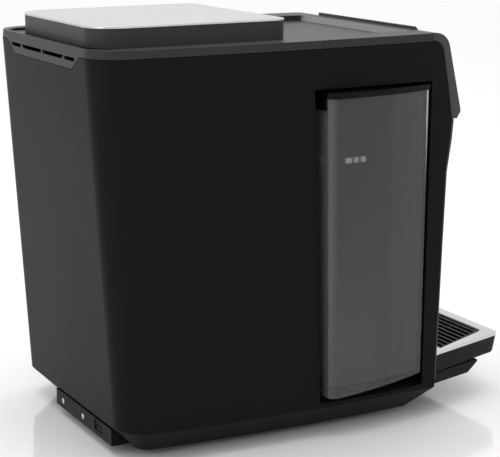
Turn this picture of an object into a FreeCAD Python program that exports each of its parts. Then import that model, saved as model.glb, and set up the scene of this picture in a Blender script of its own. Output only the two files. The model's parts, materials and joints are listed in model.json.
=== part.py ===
import FreeCAD, Part
import math
import os
import Sketcher

# Countertop ice maker with an ice dispenser at the front and a water tank at the side.
# Millimetres. +Z is up, the front faces -Y and the water tank is on the -X side.
# All pieces are drawn in the cabinet's frame: x = 0 is the cabinet's middle plane, y = 0 is the
# front edge of its side walls and z = 0 is the surface that it stands on. Each piece's Placement
# then moves it so that the origin is under the middle of the whole machine.

DIMS = {
    # placement of the cabinet's frame in the part's frame
    "shift_x": 6.858, "shift_y": -139,
    # cabinet outline
    "shell_width": 308, "side_bow": 8.3, "depth_top": 390, "depth_foot": 369, "corner": 38,
    "wall": 3, "foot_height": 8, "skirt_top": 33, "skirt_inset": 25, "shell_top": 412,
    "knee_y": -15, "knee_z": 328,
    # top frame
    "trim_low": 412.7, "ledge": 421, "trim_plate": 7, "seam_y": 147,
    "recess_floor": 418.4, "recess_back": 385,
    "front_seam": 10.5, "vent_top_half": 110, "vent_low_half": 85, "vent_low": 398.5,
    "slot_low": 406.3, "slot_high": 410.3, "slot_half": 96, "slot_rib": 1.5,
    # finger well in front of the lid
    "well_half": 134, "well_front_half": 114, "well_wall": 2.5, "well_floor": 414.8,
    "well_back": 167, "ramp_foot": 24.5, "ramp_top": 19.5,
    # front head
    "lip_top": 424, "lip_half": 105, "head_half": 152, "head_round": 18, "bezel_wall": 3,
    "glass_half": 92, "button_pitch": 46,
    "button_radius": 8,
    # tank and its bay
    "bay_front": 9, "bay_back": 161, "bay_low": 35.5, "bay_high": 375, "bay_inner": 109,
    "tank_low": 44, "tank_floor": 56, "tank_high": 362, "tank_inner": 116, "tank_wall": 2.5,
    "tank_bulge": 20, "tank_face_radius": 400, "cap_thick": 6,
    # lid
    "lid_half": 118, "lid_front": 165, "lid_back": 376, "lid_low": 419.2, "lid_high": 438.6,
    "lid_plate": 2.4, "lid_wall": 3, "lid_corner": 35, "lid_front_corner": 12,
    "hinge_y": 369.5, "hinge_z": 427.5, "hinge_x": 66,
    # dispensing alcove and tray
    "alcove_half": 95, "alcove_deep": 74, "alcove_low": 46, "alcove_high": 288,
    "tray_low": 47.5, "tray_high": 66, "rim_high": 70, "tray_reach": 112, "tray_front_half": 112,
    "tray_root_half": 149, "neck_half": 91, "neck_back": 70, "rim_width": 14, "slat_pitch": 9,
    "tray_taper": 4.5, "tray_corner": 6,
    # ice path
    "chute_half": 31, "chute_back": 46, "chute_low": 280, "trough_z": 330, "trough_radius": 38,
    "bin_half": 100, "bin_front": 173, "bin_back": 338, "bin_floor": 292, "bin_wall": 3,
    "barrel_x": 75, "barrel_y": 125, "barrel_radius": 32,
    # cooling
    "compressor_x": 58, "compressor_y": 268, "compressor_radius": 56,
    "fan_x": -72, "fan_y": 300, "fan_z": 92, "fan_radius": 52,
}

doc = FreeCAD.newDocument("ice_maker")
sheet = doc.addObject("Spreadsheet::Sheet", "Dims")
for row, (alias, number) in enumerate(DIMS.items(), start=1):
    sheet.set(f"A{row}", alias)
    sheet.set(f"B{row}", str(number))
    sheet.setAlias(f"B{row}", alias)
doc.recompute()

NODES = []


# Sizes: each is known as a number and as a formula on the sheet.
class Size:
    def __init__(self, number, formula):
        self.number = number
        self.formula = formula

    def join(self, other, sign, number):
        return Size(number, f"({self.formula} {sign} {as_size(other).formula})")

    def __add__(self, other):
        return self.join(other, "+", self.number + as_size(other).number)

    def __sub__(self, other):
        return self.join(other, "-", self.number - as_size(other).number)

    def __mul__(self, other):
        return self.join(other, "*", self.number * as_size(other).number)

    def __truediv__(self, other):
        return self.join(other, "/", self.number / as_size(other).number)

    def __radd__(self, other):
        return as_size(other) + self

    def __rsub__(self, other):
        return as_size(other) - self

    def __neg__(self):
        return 0 - self


def as_size(value):
    if isinstance(value, Size):
        return value
    return Size(float(value), f"({float(value):.6f})")


def dim(alias):
    return Size(float(DIMS[alias]), f"Dims.{alias}")


def bind(thing, path, size):
    thing.setExpression(path, as_size(size).formula)


def node(thing, label, origin=(0, 0, 0)):
    """Name a finished piece and give it its Placement in the part's frame."""
    thing.Label = label
    shift = (dim("shift_x"), dim("shift_y"), as_size(0))
    for axis, start, move in zip("xyz", origin, shift):
        bind(thing, f"Placement.Base.{axis}", as_size(start) + move)
    NODES.append(thing)
    return thing


# PartDesign helpers. A plane is XY, XZ or YZ, and a sketch's own axes are the plane's two letters.
def new_body(name):
    return doc.addObject("PartDesign::Body", name)


def new_sketch(body, plane, level=0):
    sketch = body.newObject("Sketcher::SketchObject", f"{body.Name}_sketch")
    role = f"{plane}_Plane"
    support = [item for item in body.Origin.OriginFeatures if item.Role == role][0]
    sketch.AttachmentSupport = [(support, "")]
    sketch.MapMode = "FlatFace"
    level = as_size(level)
    bind(sketch, "AttachmentOffset.Base.z", -level if plane == "XZ" else level)
    return sketch


def pin_point(sketch, element, end, across, up):
    """Fix one point of a sketch at two sizes measured from the sketch's origin."""
    for kind, size, axis in (("DistanceX", as_size(across), -2), ("DistanceY", as_size(up), -1)):
        if abs(size.number) < 1e-9:
            sketch.addConstraint(Sketcher.Constraint("PointOnObject", element, end, axis))
        else:
            rule = Sketcher.Constraint(kind, -1, 1, element, end, size.number)
            index = sketch.addConstraint(rule)
            sketch.setExpression(f"Constraints[{index}]", size.formula)


def draw_polygon(sketch, points):
    first = sketch.GeometryCount
    spots = [FreeCAD.Vector(as_size(a).number, as_size(b).number, 0) for a, b in points]
    for start, end in zip(spots, spots[1:] + spots[:1]):
        sketch.addGeometry(Part.LineSegment(start, end))
    count = len(points)
    for index in range(count):
        after = first + (index + 1) % count
        sketch.addConstraint(Sketcher.Constraint("Coincident", first + index, 2, after, 1))
    for index, (across, up) in enumerate(points):
        pin_point(sketch, first + index, 1, across, up)
    return sketch


def draw_circle(sketch, across, up, radius):
    centre = FreeCAD.Vector(as_size(across).number, as_size(up).number, 0)
    circle = Part.Circle(centre, FreeCAD.Vector(0, 0, 1), as_size(radius).number)
    element = sketch.addGeometry(circle)
    pin_point(sketch, element, 3, across, up)
    index = sketch.addConstraint(Sketcher.Constraint("Radius", element, as_size(radius).number))
    sketch.setExpression(f"Constraints[{index}]", as_size(radius).formula)
    return sketch


def rectangle(left, low, right, high):
    return [(left, low), (right, low), (right, high), (left, high)]


def extrude(body, sketch, plane_from, plane_to, cutting):
    kind = "PartDesign::Pocket" if cutting else "PartDesign::Pad"
    before = body.Shape.Volume if cutting else 0
    feature = body.newObject(kind, f"{body.Name}_{'pocket' if cutting else 'pad'}")
    feature.Profile = sketch
    bind(feature, "Length", as_size(plane_to) - plane_from)
    sketch.Visibility = False
    doc.recompute()
    if cutting and body.Shape.Volume > before - 1e-3:
        raise RuntimeError(f"{feature.Name} cuts nothing")
    return feature


def sketch_level(plane, start, end, cutting):
    """A pad grows along the plane's normal and a pocket against it; XZ's normal is -Y."""
    return end if cutting != (plane == "XZ") else start


def prism(body, plane, points, start, end, cutting=False):
    sketch = new_sketch(body, plane, sketch_level(plane, start, end, cutting))
    draw_polygon(sketch, points)
    return extrude(body, sketch, start, end, cutting)


def round_bar(body, plane, centre, radius, start, end, cutting=False):
    sketch = new_sketch(body, plane, sketch_level(plane, start, end, cutting))
    draw_circle(sketch, centre[0], centre[1], radius)
    return extrude(body, sketch, start, end, cutting)


def fillet_edges(body, radius, wanted):
    """Round the edges of the body's last feature that the test picks by their two ends."""
    doc.recompute()
    base = body.Tip
    names = []
    for index, edge in enumerate(base.Shape.Edges, start=1):
        if len(edge.Vertexes) == 2 and wanted(edge.Vertexes[0].Point, edge.Vertexes[1].Point):
            names.append(f"Edge{index}")
    fillet = body.newObject("PartDesign::Fillet", f"{body.Name}_fillet")
    fillet.Base = (base, names)
    bind(fillet, "Radius", radius)
    doc.recompute()
    return fillet


def upright(a, b):
    return abs(a.x - b.x) < 1e-4 and abs(a.y - b.y) < 1e-4


def row(body, feature, axis_role, pitch, count):
    """Repeat a feature along one of the body's own axes."""
    pattern = body.newObject("PartDesign::LinearPattern", f"{body.Name}_row")
    pattern.Originals = [feature]
    axis = [item for item in body.Origin.OriginFeatures if item.Role == axis_role][0]
    pattern.Direction = (axis, [""])
    pattern.Mode = "Spacing"
    pattern.Offset = as_size(pitch).number
    bind(pattern, "Offset", pitch)
    pattern.Occurrences = count
    body.Tip = pattern
    doc.recompute()
    return pattern


# Part helpers for plain inner pieces.
def block(name, low, high):
    box = doc.addObject("Part::Box", name)
    for path, a, b in zip(("Length", "Width", "Height"), low, high):
        bind(box, path, as_size(b) - a)
    for axis, start in zip("xyz", low):
        bind(box, f"Placement.Base.{axis}", start)
    return box


def drum(name, foot, radius, length, axis="Z"):
    turn = {
        "Z": FreeCAD.Rotation(),
        "X": FreeCAD.Rotation(FreeCAD.Vector(0, 1, 0), 90),
        "Y": FreeCAD.Rotation(FreeCAD.Vector(1, 0, 0), -90),
    }[axis]
    cylinder = doc.addObject("Part::Cylinder", name)
    cylinder.Placement = FreeCAD.Placement(FreeCAD.Vector(0, 0, 0), turn)
    bind(cylinder, "Radius", radius)
    bind(cylinder, "Height", length)
    for direction, start in zip("xyz", foot):
        bind(cylinder, f"Placement.Base.{direction}", start)
    return cylinder


def fused(name, *pieces):
    union = doc.addObject("Part::MultiFuse", name)
    union.Shapes = list(pieces)
    return union


def cut(name, base, tool):
    result = doc.addObject("Part::Cut", name)
    result.Base = base
    result.Tool = tool
    return result


def group(name, pieces):
    compound = doc.addObject("Part::Compound", name)
    compound.Links = list(pieces)
    return compound


# The cabinet's outline in plan: bowed sides, round rear corners and a straight back.
half = dim("shell_width") / 2
mid_y = dim("depth_top") / 2
side_radius = (mid_y * mid_y + dim("side_bow") * dim("side_bow")) / (dim("side_bow") * 2)
side_centre = half + dim("side_bow") - side_radius


def side_x(y, inset=0):
    """Where the bowed side is at a given y, as a number."""
    radius = side_radius.number - inset
    return side_centre.number + math.sqrt(radius ** 2 - (y - mid_y.number) ** 2)


def draw_outline(sketch, inset, rear, front, corner):
    inset, rear, front, corner = (as_size(value) for value in (inset, rear, front, corner))
    radius = side_radius - inset
    flat = FreeCAD.Vector(0, 0, 1)
    corner_y = rear.number - corner.number
    reach = radius.number - corner.number
    corner_x = side_centre.number + math.sqrt(reach ** 2 - (corner_y - mid_y.number) ** 2)
    lean = math.atan2(corner_y - mid_y.number, corner_x - side_centre.number)
    low = math.asin((front.number - mid_y.number) / radius.number)
    elements = {}
    for sign, name in ((1, "right"), (-1, "left")):
        spans = ((low, lean), (lean, math.pi / 2))
        if sign < 0:
            spans = tuple((math.pi - b, math.pi - a) for a, b in spans)
        centre = FreeCAD.Vector(sign * side_centre.number, mid_y.number, 0)
        side = Part.ArcOfCircle(Part.Circle(centre, flat, radius.number), *spans[0])
        bend_centre = FreeCAD.Vector(sign * corner_x, corner_y, 0)
        bend = Part.ArcOfCircle(Part.Circle(bend_centre, flat, corner.number), *spans[1])
        elements[name] = (sketch.addGeometry(side), sketch.addGeometry(bend))
    right_side, right_bend = elements["right"]
    left_side, left_bend = elements["left"]
    back = sketch.addGeometry(Part.LineSegment(FreeCAD.Vector(corner_x, rear.number, 0),
                                               FreeCAD.Vector(-corner_x, rear.number, 0)))
    front_x = side_centre.number + radius.number * math.cos(low)
    face = sketch.addGeometry(Part.LineSegment(FreeCAD.Vector(-front_x, front.number, 0),
                                               FreeCAD.Vector(front_x, front.number, 0)))
    rules = [
        ("Tangent", right_side, 2, right_bend, 1), ("Tangent", right_bend, 2, back, 1),
        ("Tangent", back, 2, left_bend, 1), ("Tangent", left_bend, 2, left_side, 1),
        ("Coincident", left_side, 2, face, 1), ("Coincident", face, 2, right_side, 1),
        ("Horizontal", face), ("Equal", right_bend, left_bend), ("Equal", right_side, left_side),
    ]
    for rule in rules:
        sketch.addConstraint(Sketcher.Constraint(*rule))
    pin_point(sketch, right_side, 3, side_centre, mid_y)
    pin_point(sketch, left_side, 3, -side_centre, mid_y)
    measures = [
        ("Radius", (right_side,), radius), ("Radius", (right_bend,), corner),
        ("DistanceY", (-1, 1, back, 1), rear), ("DistanceY", (-1, 1, face, 2), front),
    ]
    for kind, place, size in measures:
        index = sketch.addConstraint(Sketcher.Constraint(kind, *place, size.number))
        sketch.setExpression(f"Constraints[{index}]", size.formula)
    return sketch


def loft(body, lower, upper, cutting=False):
    kind = "PartDesign::SubtractiveLoft" if cutting else "PartDesign::AdditiveLoft"
    feature = body.newObject(kind, f"{body.Name}_loft")
    feature.Profile = lower
    feature.Sections = [upper]
    feature.Ruled = True
    lower.Visibility = False
    upper.Visibility = False
    doc.recompute()
    return feature


def outline_loft(body, low, high, cutting=False):
    """Loft between two outlines, each given as level, inset, rear, front and corner radius."""
    sketches = []
    for level, inset, rear, front, corner in (low, high):
        sketch = new_sketch(body, "XY", level)
        draw_outline(sketch, inset, rear, front, corner)
        sketches.append(sketch)
    return loft(body, sketches[0], sketches[1], cutting)


# ---------------------------------------------------------------- base
foot = dim("foot_height")
skirt = dim("skirt_top")
inset = dim("skirt_inset")
rear_low = dim("depth_foot")
rear_top = dim("depth_top")
corner = dim("corner")
wall = dim("wall")
pan_floor = foot + wall
skirt_front = skirt + 7
rise_y = 110


def make_base_pan():
    body = new_body("base_pan")
    bend = corner - inset
    outline_loft(body, (foot, inset, rear_low - inset, 3 + inset, bend),
                 (skirt, 0, rear_low, 3, corner))
    outline_loft(body, (skirt, 0, rear_low, 3, corner), (skirt_front, 0, rear_low, 3, corner))
    rise = [(rise_y, skirt), (3, skirt_front), (-5, skirt_front), (-5, skirt_front + 5),
            (400, skirt_front + 5), (400, skirt)]
    prism(body, "YZ", rise, -200, 200, cutting=True)
    outline_loft(body, (pan_floor, inset, rear_low - inset, 3 + inset, bend),
                 (skirt, wall, rear_low - wall, 3 + wall, corner - wall), cutting=True)
    outline_loft(body, (skirt, wall, rear_low - wall, 3 + wall, corner - wall),
                 (skirt_front, wall, rear_low - wall, 3 + wall, corner - wall), cutting=True)
    slot = prism(body, "XY", rectangle(-128, 200, -48, 206), foot, pan_floor, cutting=True)
    row(body, slot, "Y_Axis", 14, 7)
    round_bar(body, "YZ", (70, 24), 9, 138, 150.5)
    round_bar(body, "YZ", (70, 24), 5, 130, 152, cutting=True)
    round_bar(body, "YZ", (70, 24), 8, 150.5, 165, cutting=True)
    node(body, "base_pan")


def make_base_rear_strip():
    body = new_body("base_rear_strip")
    flat = rear_low - 2
    section = [(rear_low - 23, 10), (flat, 10), (flat, 28), (rear_low - 5, 28)]
    prism(body, "YZ", section, -110, 52)
    prism(body, "XZ", rectangle(-85, 15, -63, 26), rear_low - 7, flat + 1, cutting=True)
    node(body, "base_rear_strip")


def make_feet():
    feet = []
    for x in (-100, 100):
        for y in (52, 316):
            foot_cone = doc.addObject("Part::Cone", "foot")
            bind(foot_cone, "Radius1", 12)
            bind(foot_cone, "Radius2", 14)
            bind(foot_cone, "Height", foot)
            bind(foot_cone, "Placement.Base.x", x)
            bind(foot_cone, "Placement.Base.y", y)
            feet.append(foot_cone)
    node(group("feet_group", feet), "rubber_feet")


def make_front_shelf():
    """Bracket under the drip tray, with a nose that slopes up to the front."""
    body = new_body("front_shelf")
    reach = dim("tray_reach")
    top = dim("alcove_low")
    nose = reach - 38
    plan = [(-(dim("tray_root_half") - 1), -0.95), (-(dim("tray_front_half") + 12), -nose),
            (dim("tray_front_half") + 12, -nose), (dim("tray_root_half") - 1, -0.95)]
    prism(body, "XY", plan, 34, top)
    prism(body, "XY", rectangle(-140, -3, 140, 2.7), skirt, 39)
    prism(body, "YZ", [(-nose - 5, 30), (-nose + 16, 30), (-nose + 16, 34.001), (-nose - 1, 44),
                       (-nose - 5, 44)], -160, 160, cutting=True)
    inner = [(-(dim("tray_root_half") - 6), -5), (-(dim("tray_front_half") + 12), -nose + 20),
             (dim("tray_front_half") + 12, -nose + 20), (dim("tray_root_half") - 6, -5)]
    prism(body, "XY", inner, 34, top - 3, cutting=True)
    node(body, "front_shelf")


# ---------------------------------------------------------------- outer shells
def make_wrap_housing():
    """One U-shaped cover: both sides and the back, open at the front, top and bottom."""
    body = new_body("wrap_housing")
    top = dim("shell_top")
    outline_loft(body, (skirt, 0, rear_low, -16, corner), (top, 0, rear_top, -16, corner))
    outline_loft(body, (skirt, wall, rear_low - wall, -60, corner - wall),
                 (top, wall, rear_top - wall, -60, corner - wall), cutting=True)
    front = [(-90, 10), (rise_y, 10), (rise_y, skirt + 0.3), (3, skirt_front + 0.3), (-3.4, 190),
             (-7.4, 272), (-12.6, 305), (dim("knee_y"), dim("knee_z")), (-9.6, 365), (-2.6, 404.5),
             (1, 409), (6.5, top), (6.5, 440), (-90, 440)]
    prism(body, "YZ", front, -200, 200, cutting=True)
    opening = [(20, 37.5), (150, 37.5), (157, 371), (12, 371)]
    prism(body, "YZ", opening, -190, -120, cutting=True)
    plate_top = dim("trim_low") + 1
    notch = [(-dim("vent_low_half") - 0.5, dim("vent_low") - 0.5),
             (dim("vent_low_half") + 0.5, dim("vent_low") - 0.5),
             (dim("vent_top_half") + 0.7, plate_top), (dim("vent_top_half") + 0.7, 430),
             (-dim("vent_top_half") - 0.7, 430), (-dim("vent_top_half") - 0.7, plate_top)]
    prism(body, "XZ", notch, 370, 410, cutting=True)
    node(body, "wrap_housing")


def make_bay_liner():
    """Box behind the opening in the side, in which the water tank hangs."""
    body = new_body("tank_bay_liner")
    front = dim("bay_front")
    back = dim("bay_back")
    low = dim("bay_low")
    high = dim("bay_high")
    deep = dim("bay_inner")
    skin = 2
    front_x = side_x(DIMS["bay_front"], DIMS["wall"]) - 0.3
    back_x = side_x(DIMS["bay_back"], DIMS["wall"]) - 0.3
    prism(body, "XY", [(-deep, front), (-front_x, front), (-back_x, back), (-deep, back)],
          low, high)
    prism(body, "XY", rectangle(-170, front + skin, -deep - skin, back - skin),
          low + skin, high - skin, cutting=True)
    round_bar(body, "XY", (-126, 85), 8.2, low, low + skin, cutting=True)
    node(body, "tank_bay_liner")


def make_rear_trim():
    """Top frame around the lid, with the vent plate that drops down the back."""
    body = new_body("rear_top_frame")
    low = dim("trim_low")
    ledge = dim("ledge")
    seam = dim("seam_y")
    outline_loft(body, (low, 0.2, rear_top, seam, corner),
                 (ledge, 0.9, rear_top - 0.7, seam, corner))
    outline_loft(body, (low, wall, rear_top - wall, seam - 30, corner - wall),
                 (ledge - dim("trim_plate"), wall, rear_top - wall, seam - 30, corner - wall),
                 cutting=True)
    slim = dim("bin_half") + 3
    prism(body, "XY", rectangle(-slim, dim("bin_front") - 3, slim, dim("bin_back") + 3),
          low - 5, ledge + 2, cutting=True)
    field = dim("well_half")
    field_back = dim("recess_back")
    recess = [(-field, seam - 5), (field, seam - 5), (field, field_back - 14),
              (field - 14, field_back), (14 - field, field_back), (-field, field_back - 14)]
    prism(body, "XY", recess, dim("recess_floor"), ledge + 1, cutting=True)
    notch = dim("well_half") + dim("well_wall") + 0.2
    prism(body, "XY", rectangle(-notch, seam - 5, notch, dim("well_back")),
          low - 5, ledge + 2, cutting=True)
    plate = [(-dim("vent_low_half"), dim("vent_low")), (dim("vent_low_half"), dim("vent_low")),
             (dim("vent_top_half"), low + 1), (-dim("vent_top_half"), low + 1)]
    prism(body, "XZ", plate, rear_top - 3.4, rear_top)
    lean = [(rear_top.number + 2, 390), (rear_top.number + 2, 412.7), (rear_top.number, 412.7),
            (rear_top.number - 0.9, 390)]
    prism(body, "YZ", lean, -130, 130, cutting=True)
    edge = dim("slot_half")
    rib = dim("slot_rib")
    third = edge * 2 / 3
    for left, right in ((-edge, -third - rib), (-third + rib, -rib), (rib, third - rib),
                        (third + rib, edge)):
        slant = 4
        cell = [(left + slant, dim("slot_low")), (right - 1, dim("slot_low")),
                (right, dim("slot_high")), (left, dim("slot_high"))]
        if as_size(right).number > 0:
            cell = [(left + 1, dim("slot_low")), (right - slant, dim("slot_low")),
                    (right, dim("slot_high")), (left, dim("slot_high"))]
        prism(body, "XZ", cell, rear_top - 8, rear_top + 3, cutting=True)
    hinge_y = dim("hinge_y")
    hinge_z = dim("hinge_z")
    straight = dim("lid_half") - dim("lid_corner") + 10
    groove = [(-straight - 8, hinge_y - 6.5), (straight + 8, hinge_y - 6.5),
              (straight + 8, hinge_y + 2.6), (straight, hinge_y + 6.6), (-straight, hinge_y + 6.6),
              (-straight - 8, hinge_y + 2.6)]
    prism(body, "XY", groove, dim("recess_floor") - 2.3, ledge + 1, cutting=True)
    for side in (-1, 1):
        middle = dim("hinge_x") * side
        root = dim("recess_floor") - 1
        arm = [(hinge_y - 17.5, root), (hinge_y - 12.5, root),
               (hinge_y - 12.5, hinge_z - 2.7), (hinge_y, hinge_z - 2.9),
               (hinge_y + 2, hinge_z - 2), (hinge_y + 2.9, hinge_z), (hinge_y + 2, hinge_z + 2),
               (hinge_y, hinge_z + 2.9), (hinge_y - 17.5, hinge_z + 2.9)]
        prism(body, "YZ", arm, middle - 4, middle + 4)
        round_bar(body, "YZ", (hinge_y, hinge_z), 1.5, middle - 4, middle + 4, cutting=True)
    node(body, "rear_top_frame")


def well_plan(front, back, grow):
    """Plan of the finger well, which widens from the head towards the lid."""
    wide = dim("well_half") + grow
    slim = dim("well_front_half") + grow
    middle = dim("seam_y") - 10
    return [(-slim, front), (slim, front), (wide, middle), (wide, back), (-wide, back),
            (-wide, middle)]


def make_front_deck():
    """Front part of the top frame with the finger well and the ramp up to the head."""
    body = new_body("front_top_frame")
    low = dim("trim_low")
    ledge = dim("ledge")
    seam = dim("seam_y") - 0.3
    front = dim("front_seam")
    floor = dim("well_floor")
    skin = dim("well_wall")
    lower = draw_front_band(new_sketch(body, "XY", low), front, seam, 0.2)
    upper = draw_front_band(new_sketch(body, "XY", ledge), front, seam, 0.9)
    loft(body, lower, upper)
    edge = side_x(20, 7)
    prism(body, "XY", rectangle(-edge, front + 2, edge, seam + 5), low - 2,
          ledge - dim("trim_plate"), cutting=True)
    back = dim("well_back")
    prism(body, "XY", well_plan(front + 2, back - 0.4, skin), floor - skin, ledge)
    foot_y = dim("ramp_foot")
    top_y = dim("ramp_top")
    prism(body, "XY", well_plan(foot_y, back - 0.4 - skin, 0), floor, ledge + 3, cutting=True)
    ramp = [(foot_y, floor), (foot_y, ledge + 3), (top_y, ledge + 3), (top_y, ledge)]
    slope_half = dim("well_front_half")
    prism(body, "YZ", ramp, -slope_half, slope_half, cutting=True)
    under_lid = rectangle(-dim("well_half"), back - 4, dim("well_half"), back)
    prism(body, "XY", under_lid, dim("recess_floor"), ledge + 3, cutting=True)
    node(body, "front_top_frame")


def draw_front_band(sketch, front, back, trim):
    """Closed plan of the top frame between two seams: bowed sides and straight ends."""
    front = as_size(front)
    back = as_size(back)
    radius = side_radius - trim
    low = math.asin((front.number - mid_y.number) / radius.number)
    high = math.asin((back.number - mid_y.number) / radius.number)
    flat = FreeCAD.Vector(0, 0, 1)
    arcs = []
    for sign in (1, -1):
        centre = FreeCAD.Vector(sign * side_centre.number, mid_y.number, 0)
        span = (low, high) if sign > 0 else (math.pi - high, math.pi - low)
        arc = Part.ArcOfCircle(Part.Circle(centre, flat, radius.number), *span)
        arcs.append(sketch.addGeometry(arc))
    right, left = arcs
    front_x = side_centre.number + radius.number * math.cos(low)
    back_x = side_centre.number + radius.number * math.cos(high)
    rear = sketch.addGeometry(Part.LineSegment(FreeCAD.Vector(back_x, back.number, 0),
                                               FreeCAD.Vector(-back_x, back.number, 0)))
    face = sketch.addGeometry(Part.LineSegment(FreeCAD.Vector(-front_x, front.number, 0),
                                               FreeCAD.Vector(front_x, front.number, 0)))
    rules = [("Coincident", right, 2, rear, 1), ("Coincident", rear, 2, left, 1),
             ("Coincident", left, 2, face, 1), ("Coincident", face, 2, right, 1),
             ("Horizontal", rear), ("Horizontal", face), ("Equal", right, left)]
    for rule in rules:
        sketch.addConstraint(Sketcher.Constraint(*rule))
    pin_point(sketch, right, 3, side_centre, mid_y)
    pin_point(sketch, left, 3, -side_centre, mid_y)
    measures = [("Radius", (right,), radius), ("DistanceY", (-1, 1, rear, 1), back),
                ("DistanceY", (-1, 1, face, 2), front)]
    for kind, place, size in measures:
        index = sketch.addConstraint(Sketcher.Constraint(kind, *place, size.number))
        sketch.setExpression(f"Constraints[{index}]", size.formula)
    return sketch


# ---------------------------------------------------------------- front head
HEAD_SLOPE = [(-11.8, 404), (-26, 338)]


def make_front_bezel():
    """Sloped head cover: seen from the side it is a boomerang in front of the side wall."""
    body = new_body("front_bezel")
    seam = dim("front_seam") - 0.3
    top = dim("ledge")
    lip = dim("lip_top")
    reach = dim("head_half")
    (high_y, high_z), (low_y, low_z) = HEAD_SLOPE
    crown_y = sloped(0, top.number)
    outer = [(seam, 412.7), (seam, top), (crown_y, top), (low_y, low_z), (low_y + 0.2, 335),
             (low_y + 4.6, 328.6), (-15.4, 328.6), (-10, 365), (-3.2, 404.8), (0.5, 409.6),
             (6, 412.7)]
    prism(body, "YZ", outer, -reach, reach)
    crown_rim = dim("head_round")
    fillet_edges(body, crown_rim, lambda a, b: (
        abs(a.y - crown_y) < 0.01 and abs(b.y - crown_y) < 0.01 and a.z > 420 and b.z > 420))
    ridge = [(-1.5, top - 4), (5.5, top - 4), (5.5, lip), (2.5, lip), (-1.5, top - 0.8)]
    prism(body, "YZ", ridge, -dim("lip_half"), dim("lip_half"))
    skin = dim("bezel_wall")
    inner = [(40, 408), (seam - 1.5, top - 4.5), (4, top - 4), (-1.4, top - 6), (-6, top - 10.8),
             (high_y + 3, high_z), (low_y + 3.2, low_z), (low_y + 3.2, 336),
             (low_y + 5.6, 332), (40, 332)]
    prism(body, "YZ", inner, -reach + skin, reach - skin, cutting=True)
    pane = dim("glass_half")
    window = [(-pane, 346), (pane, 346), (pane, 398), (-pane, 398)]
    prism(body, "XZ", window, -40, 0, cutting=True)
    node(body, "front_bezel")


def sloped(distance, height):
    """A point on the head's sloped face, a distance behind it, at a height."""
    (high_y, high_z), (low_y, low_z) = HEAD_SLOPE
    share = (height - low_z) / (high_z - low_z)
    return low_y + (high_y - low_y) * share + distance


def sloped_slab(near, far, low, high):
    return [(sloped(near, low), low), (sloped(near, high), high),
            (sloped(far, high), high), (sloped(far, low), low)]


def make_control_panel():
    pane = dim("glass_half") - 0.2
    body = new_body("control_glass")
    prism(body, "YZ", sloped_slab(0.6, 2.8, 346.2, 397.8), -pane, pane)
    for step in (-1, 0, 1):
        round_bar(body, "XZ", (dim("button_pitch") * step, 358), dim("button_radius") + 0.4,
                  -40, 0, cutting=True)
    node(body, "control_glass")
    names = {-1: "power_button", 0: "dispense_button", 1: "clean_button"}
    for step, name in names.items():
        button = new_body(name)
        across = dim("button_pitch") * step
        front = sloped(-0.6, 358)
        round_bar(button, "XZ", (across, 358), dim("button_radius"), front, front + 5)
        round_bar(button, "XZ", (across, 358), 2.5, front + 5, front + 8)
        node(button, name)
    board = new_body("control_board")
    prism(board, "YZ", sloped_slab(12.4, 14, 348, 396), -88, 88)
    prism(board, "YZ", sloped_slab(3, 12.4, 374, 393), -34, 34)
    for step in (-1, 0, 1):
        across = dim("button_pitch") * step
        prism(board, "YZ", sloped_slab(9.4, 12.4, 354, 362), across - 4, across + 4)
    node(board, "control_board")


def make_front_panel():
    """Lower front, which follows the side walls' front edge and frames the cup alcove."""
    body = new_body("front_panel")
    reach = dim("head_half") - 0.6
    section = [(-0.7, 40.6), (2.8, 40.6), (-3.6, 190), (-7.6, 272), (-12.8, 305),
               (-15.2, 328.2), (-18.8, 328.2), (-16.4, 305), (-11, 272), (-7, 190)]
    prism(body, "YZ", section, -reach, reach)
    opening = dim("alcove_half")
    prism(body, "XZ", rectangle(-opening, 40, opening, dim("alcove_high")), -40, 30, cutting=True)
    node(body, "front_panel")


def make_alcove_liner():
    body = new_body("alcove_liner")
    outer = dim("alcove_half") + 2.5
    deep = dim("alcove_deep")
    low = dim("alcove_low")
    high = dim("alcove_high")
    prism(body, "XY", rectangle(-outer, 4, outer, deep + 2.5), low - 2.5, high + 2)
    prism(body, "XY", rectangle(-dim("alcove_half"), 0, dim("alcove_half"), deep), low, high,
          cutting=True)
    reach = dim("chute_half") + 0.3
    prism(body, "XY", rectangle(-reach, 3, reach, dim("chute_back") + 16), high - 5, high + 5,
          cutting=True)
    round_bar(body, "XZ", (0, 241), 2.2, deep - 1, deep + 4, cutting=True)
    node(body, "alcove_liner")


# ---------------------------------------------------------------- ice path to the cup
def make_chute():
    body = new_body("ice_chute")
    reach = dim("chute_half")
    back = dim("chute_back")
    low = dim("chute_low")
    prism(body, "XY", rectangle(-reach, 0, reach, back), low, 312)
    prism(body, "XY", rectangle(-reach + 2.5, 2.5, reach - 2.5, back - 2.5), low, 312,
          cutting=True)
    prism(body, "XZ", rectangle(-25, 294.8, 25, 313), back - 3, back + 1, cutting=True)
    for side in (-1, 1):
        left = reach * side - 2.5 * (side > 0)
        prism(body, "XY", rectangle(left, back - 1, left + 2.5, back + 7), low - 4, 291)
        round_bar(body, "YZ", (back + 3.5, low + 1), 1.55, left - 1, left + 3.5, cutting=True)
        ear = rectangle(left, back + 7, left + 2.5, back + 15)
        prism(body, "XY", ear, low - 8, 291)
        round_bar(body, "YZ", (back + 11, low - 2), 2.05, left - 1, left + 3.5, cutting=True)
    node(body, "ice_chute")


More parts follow.
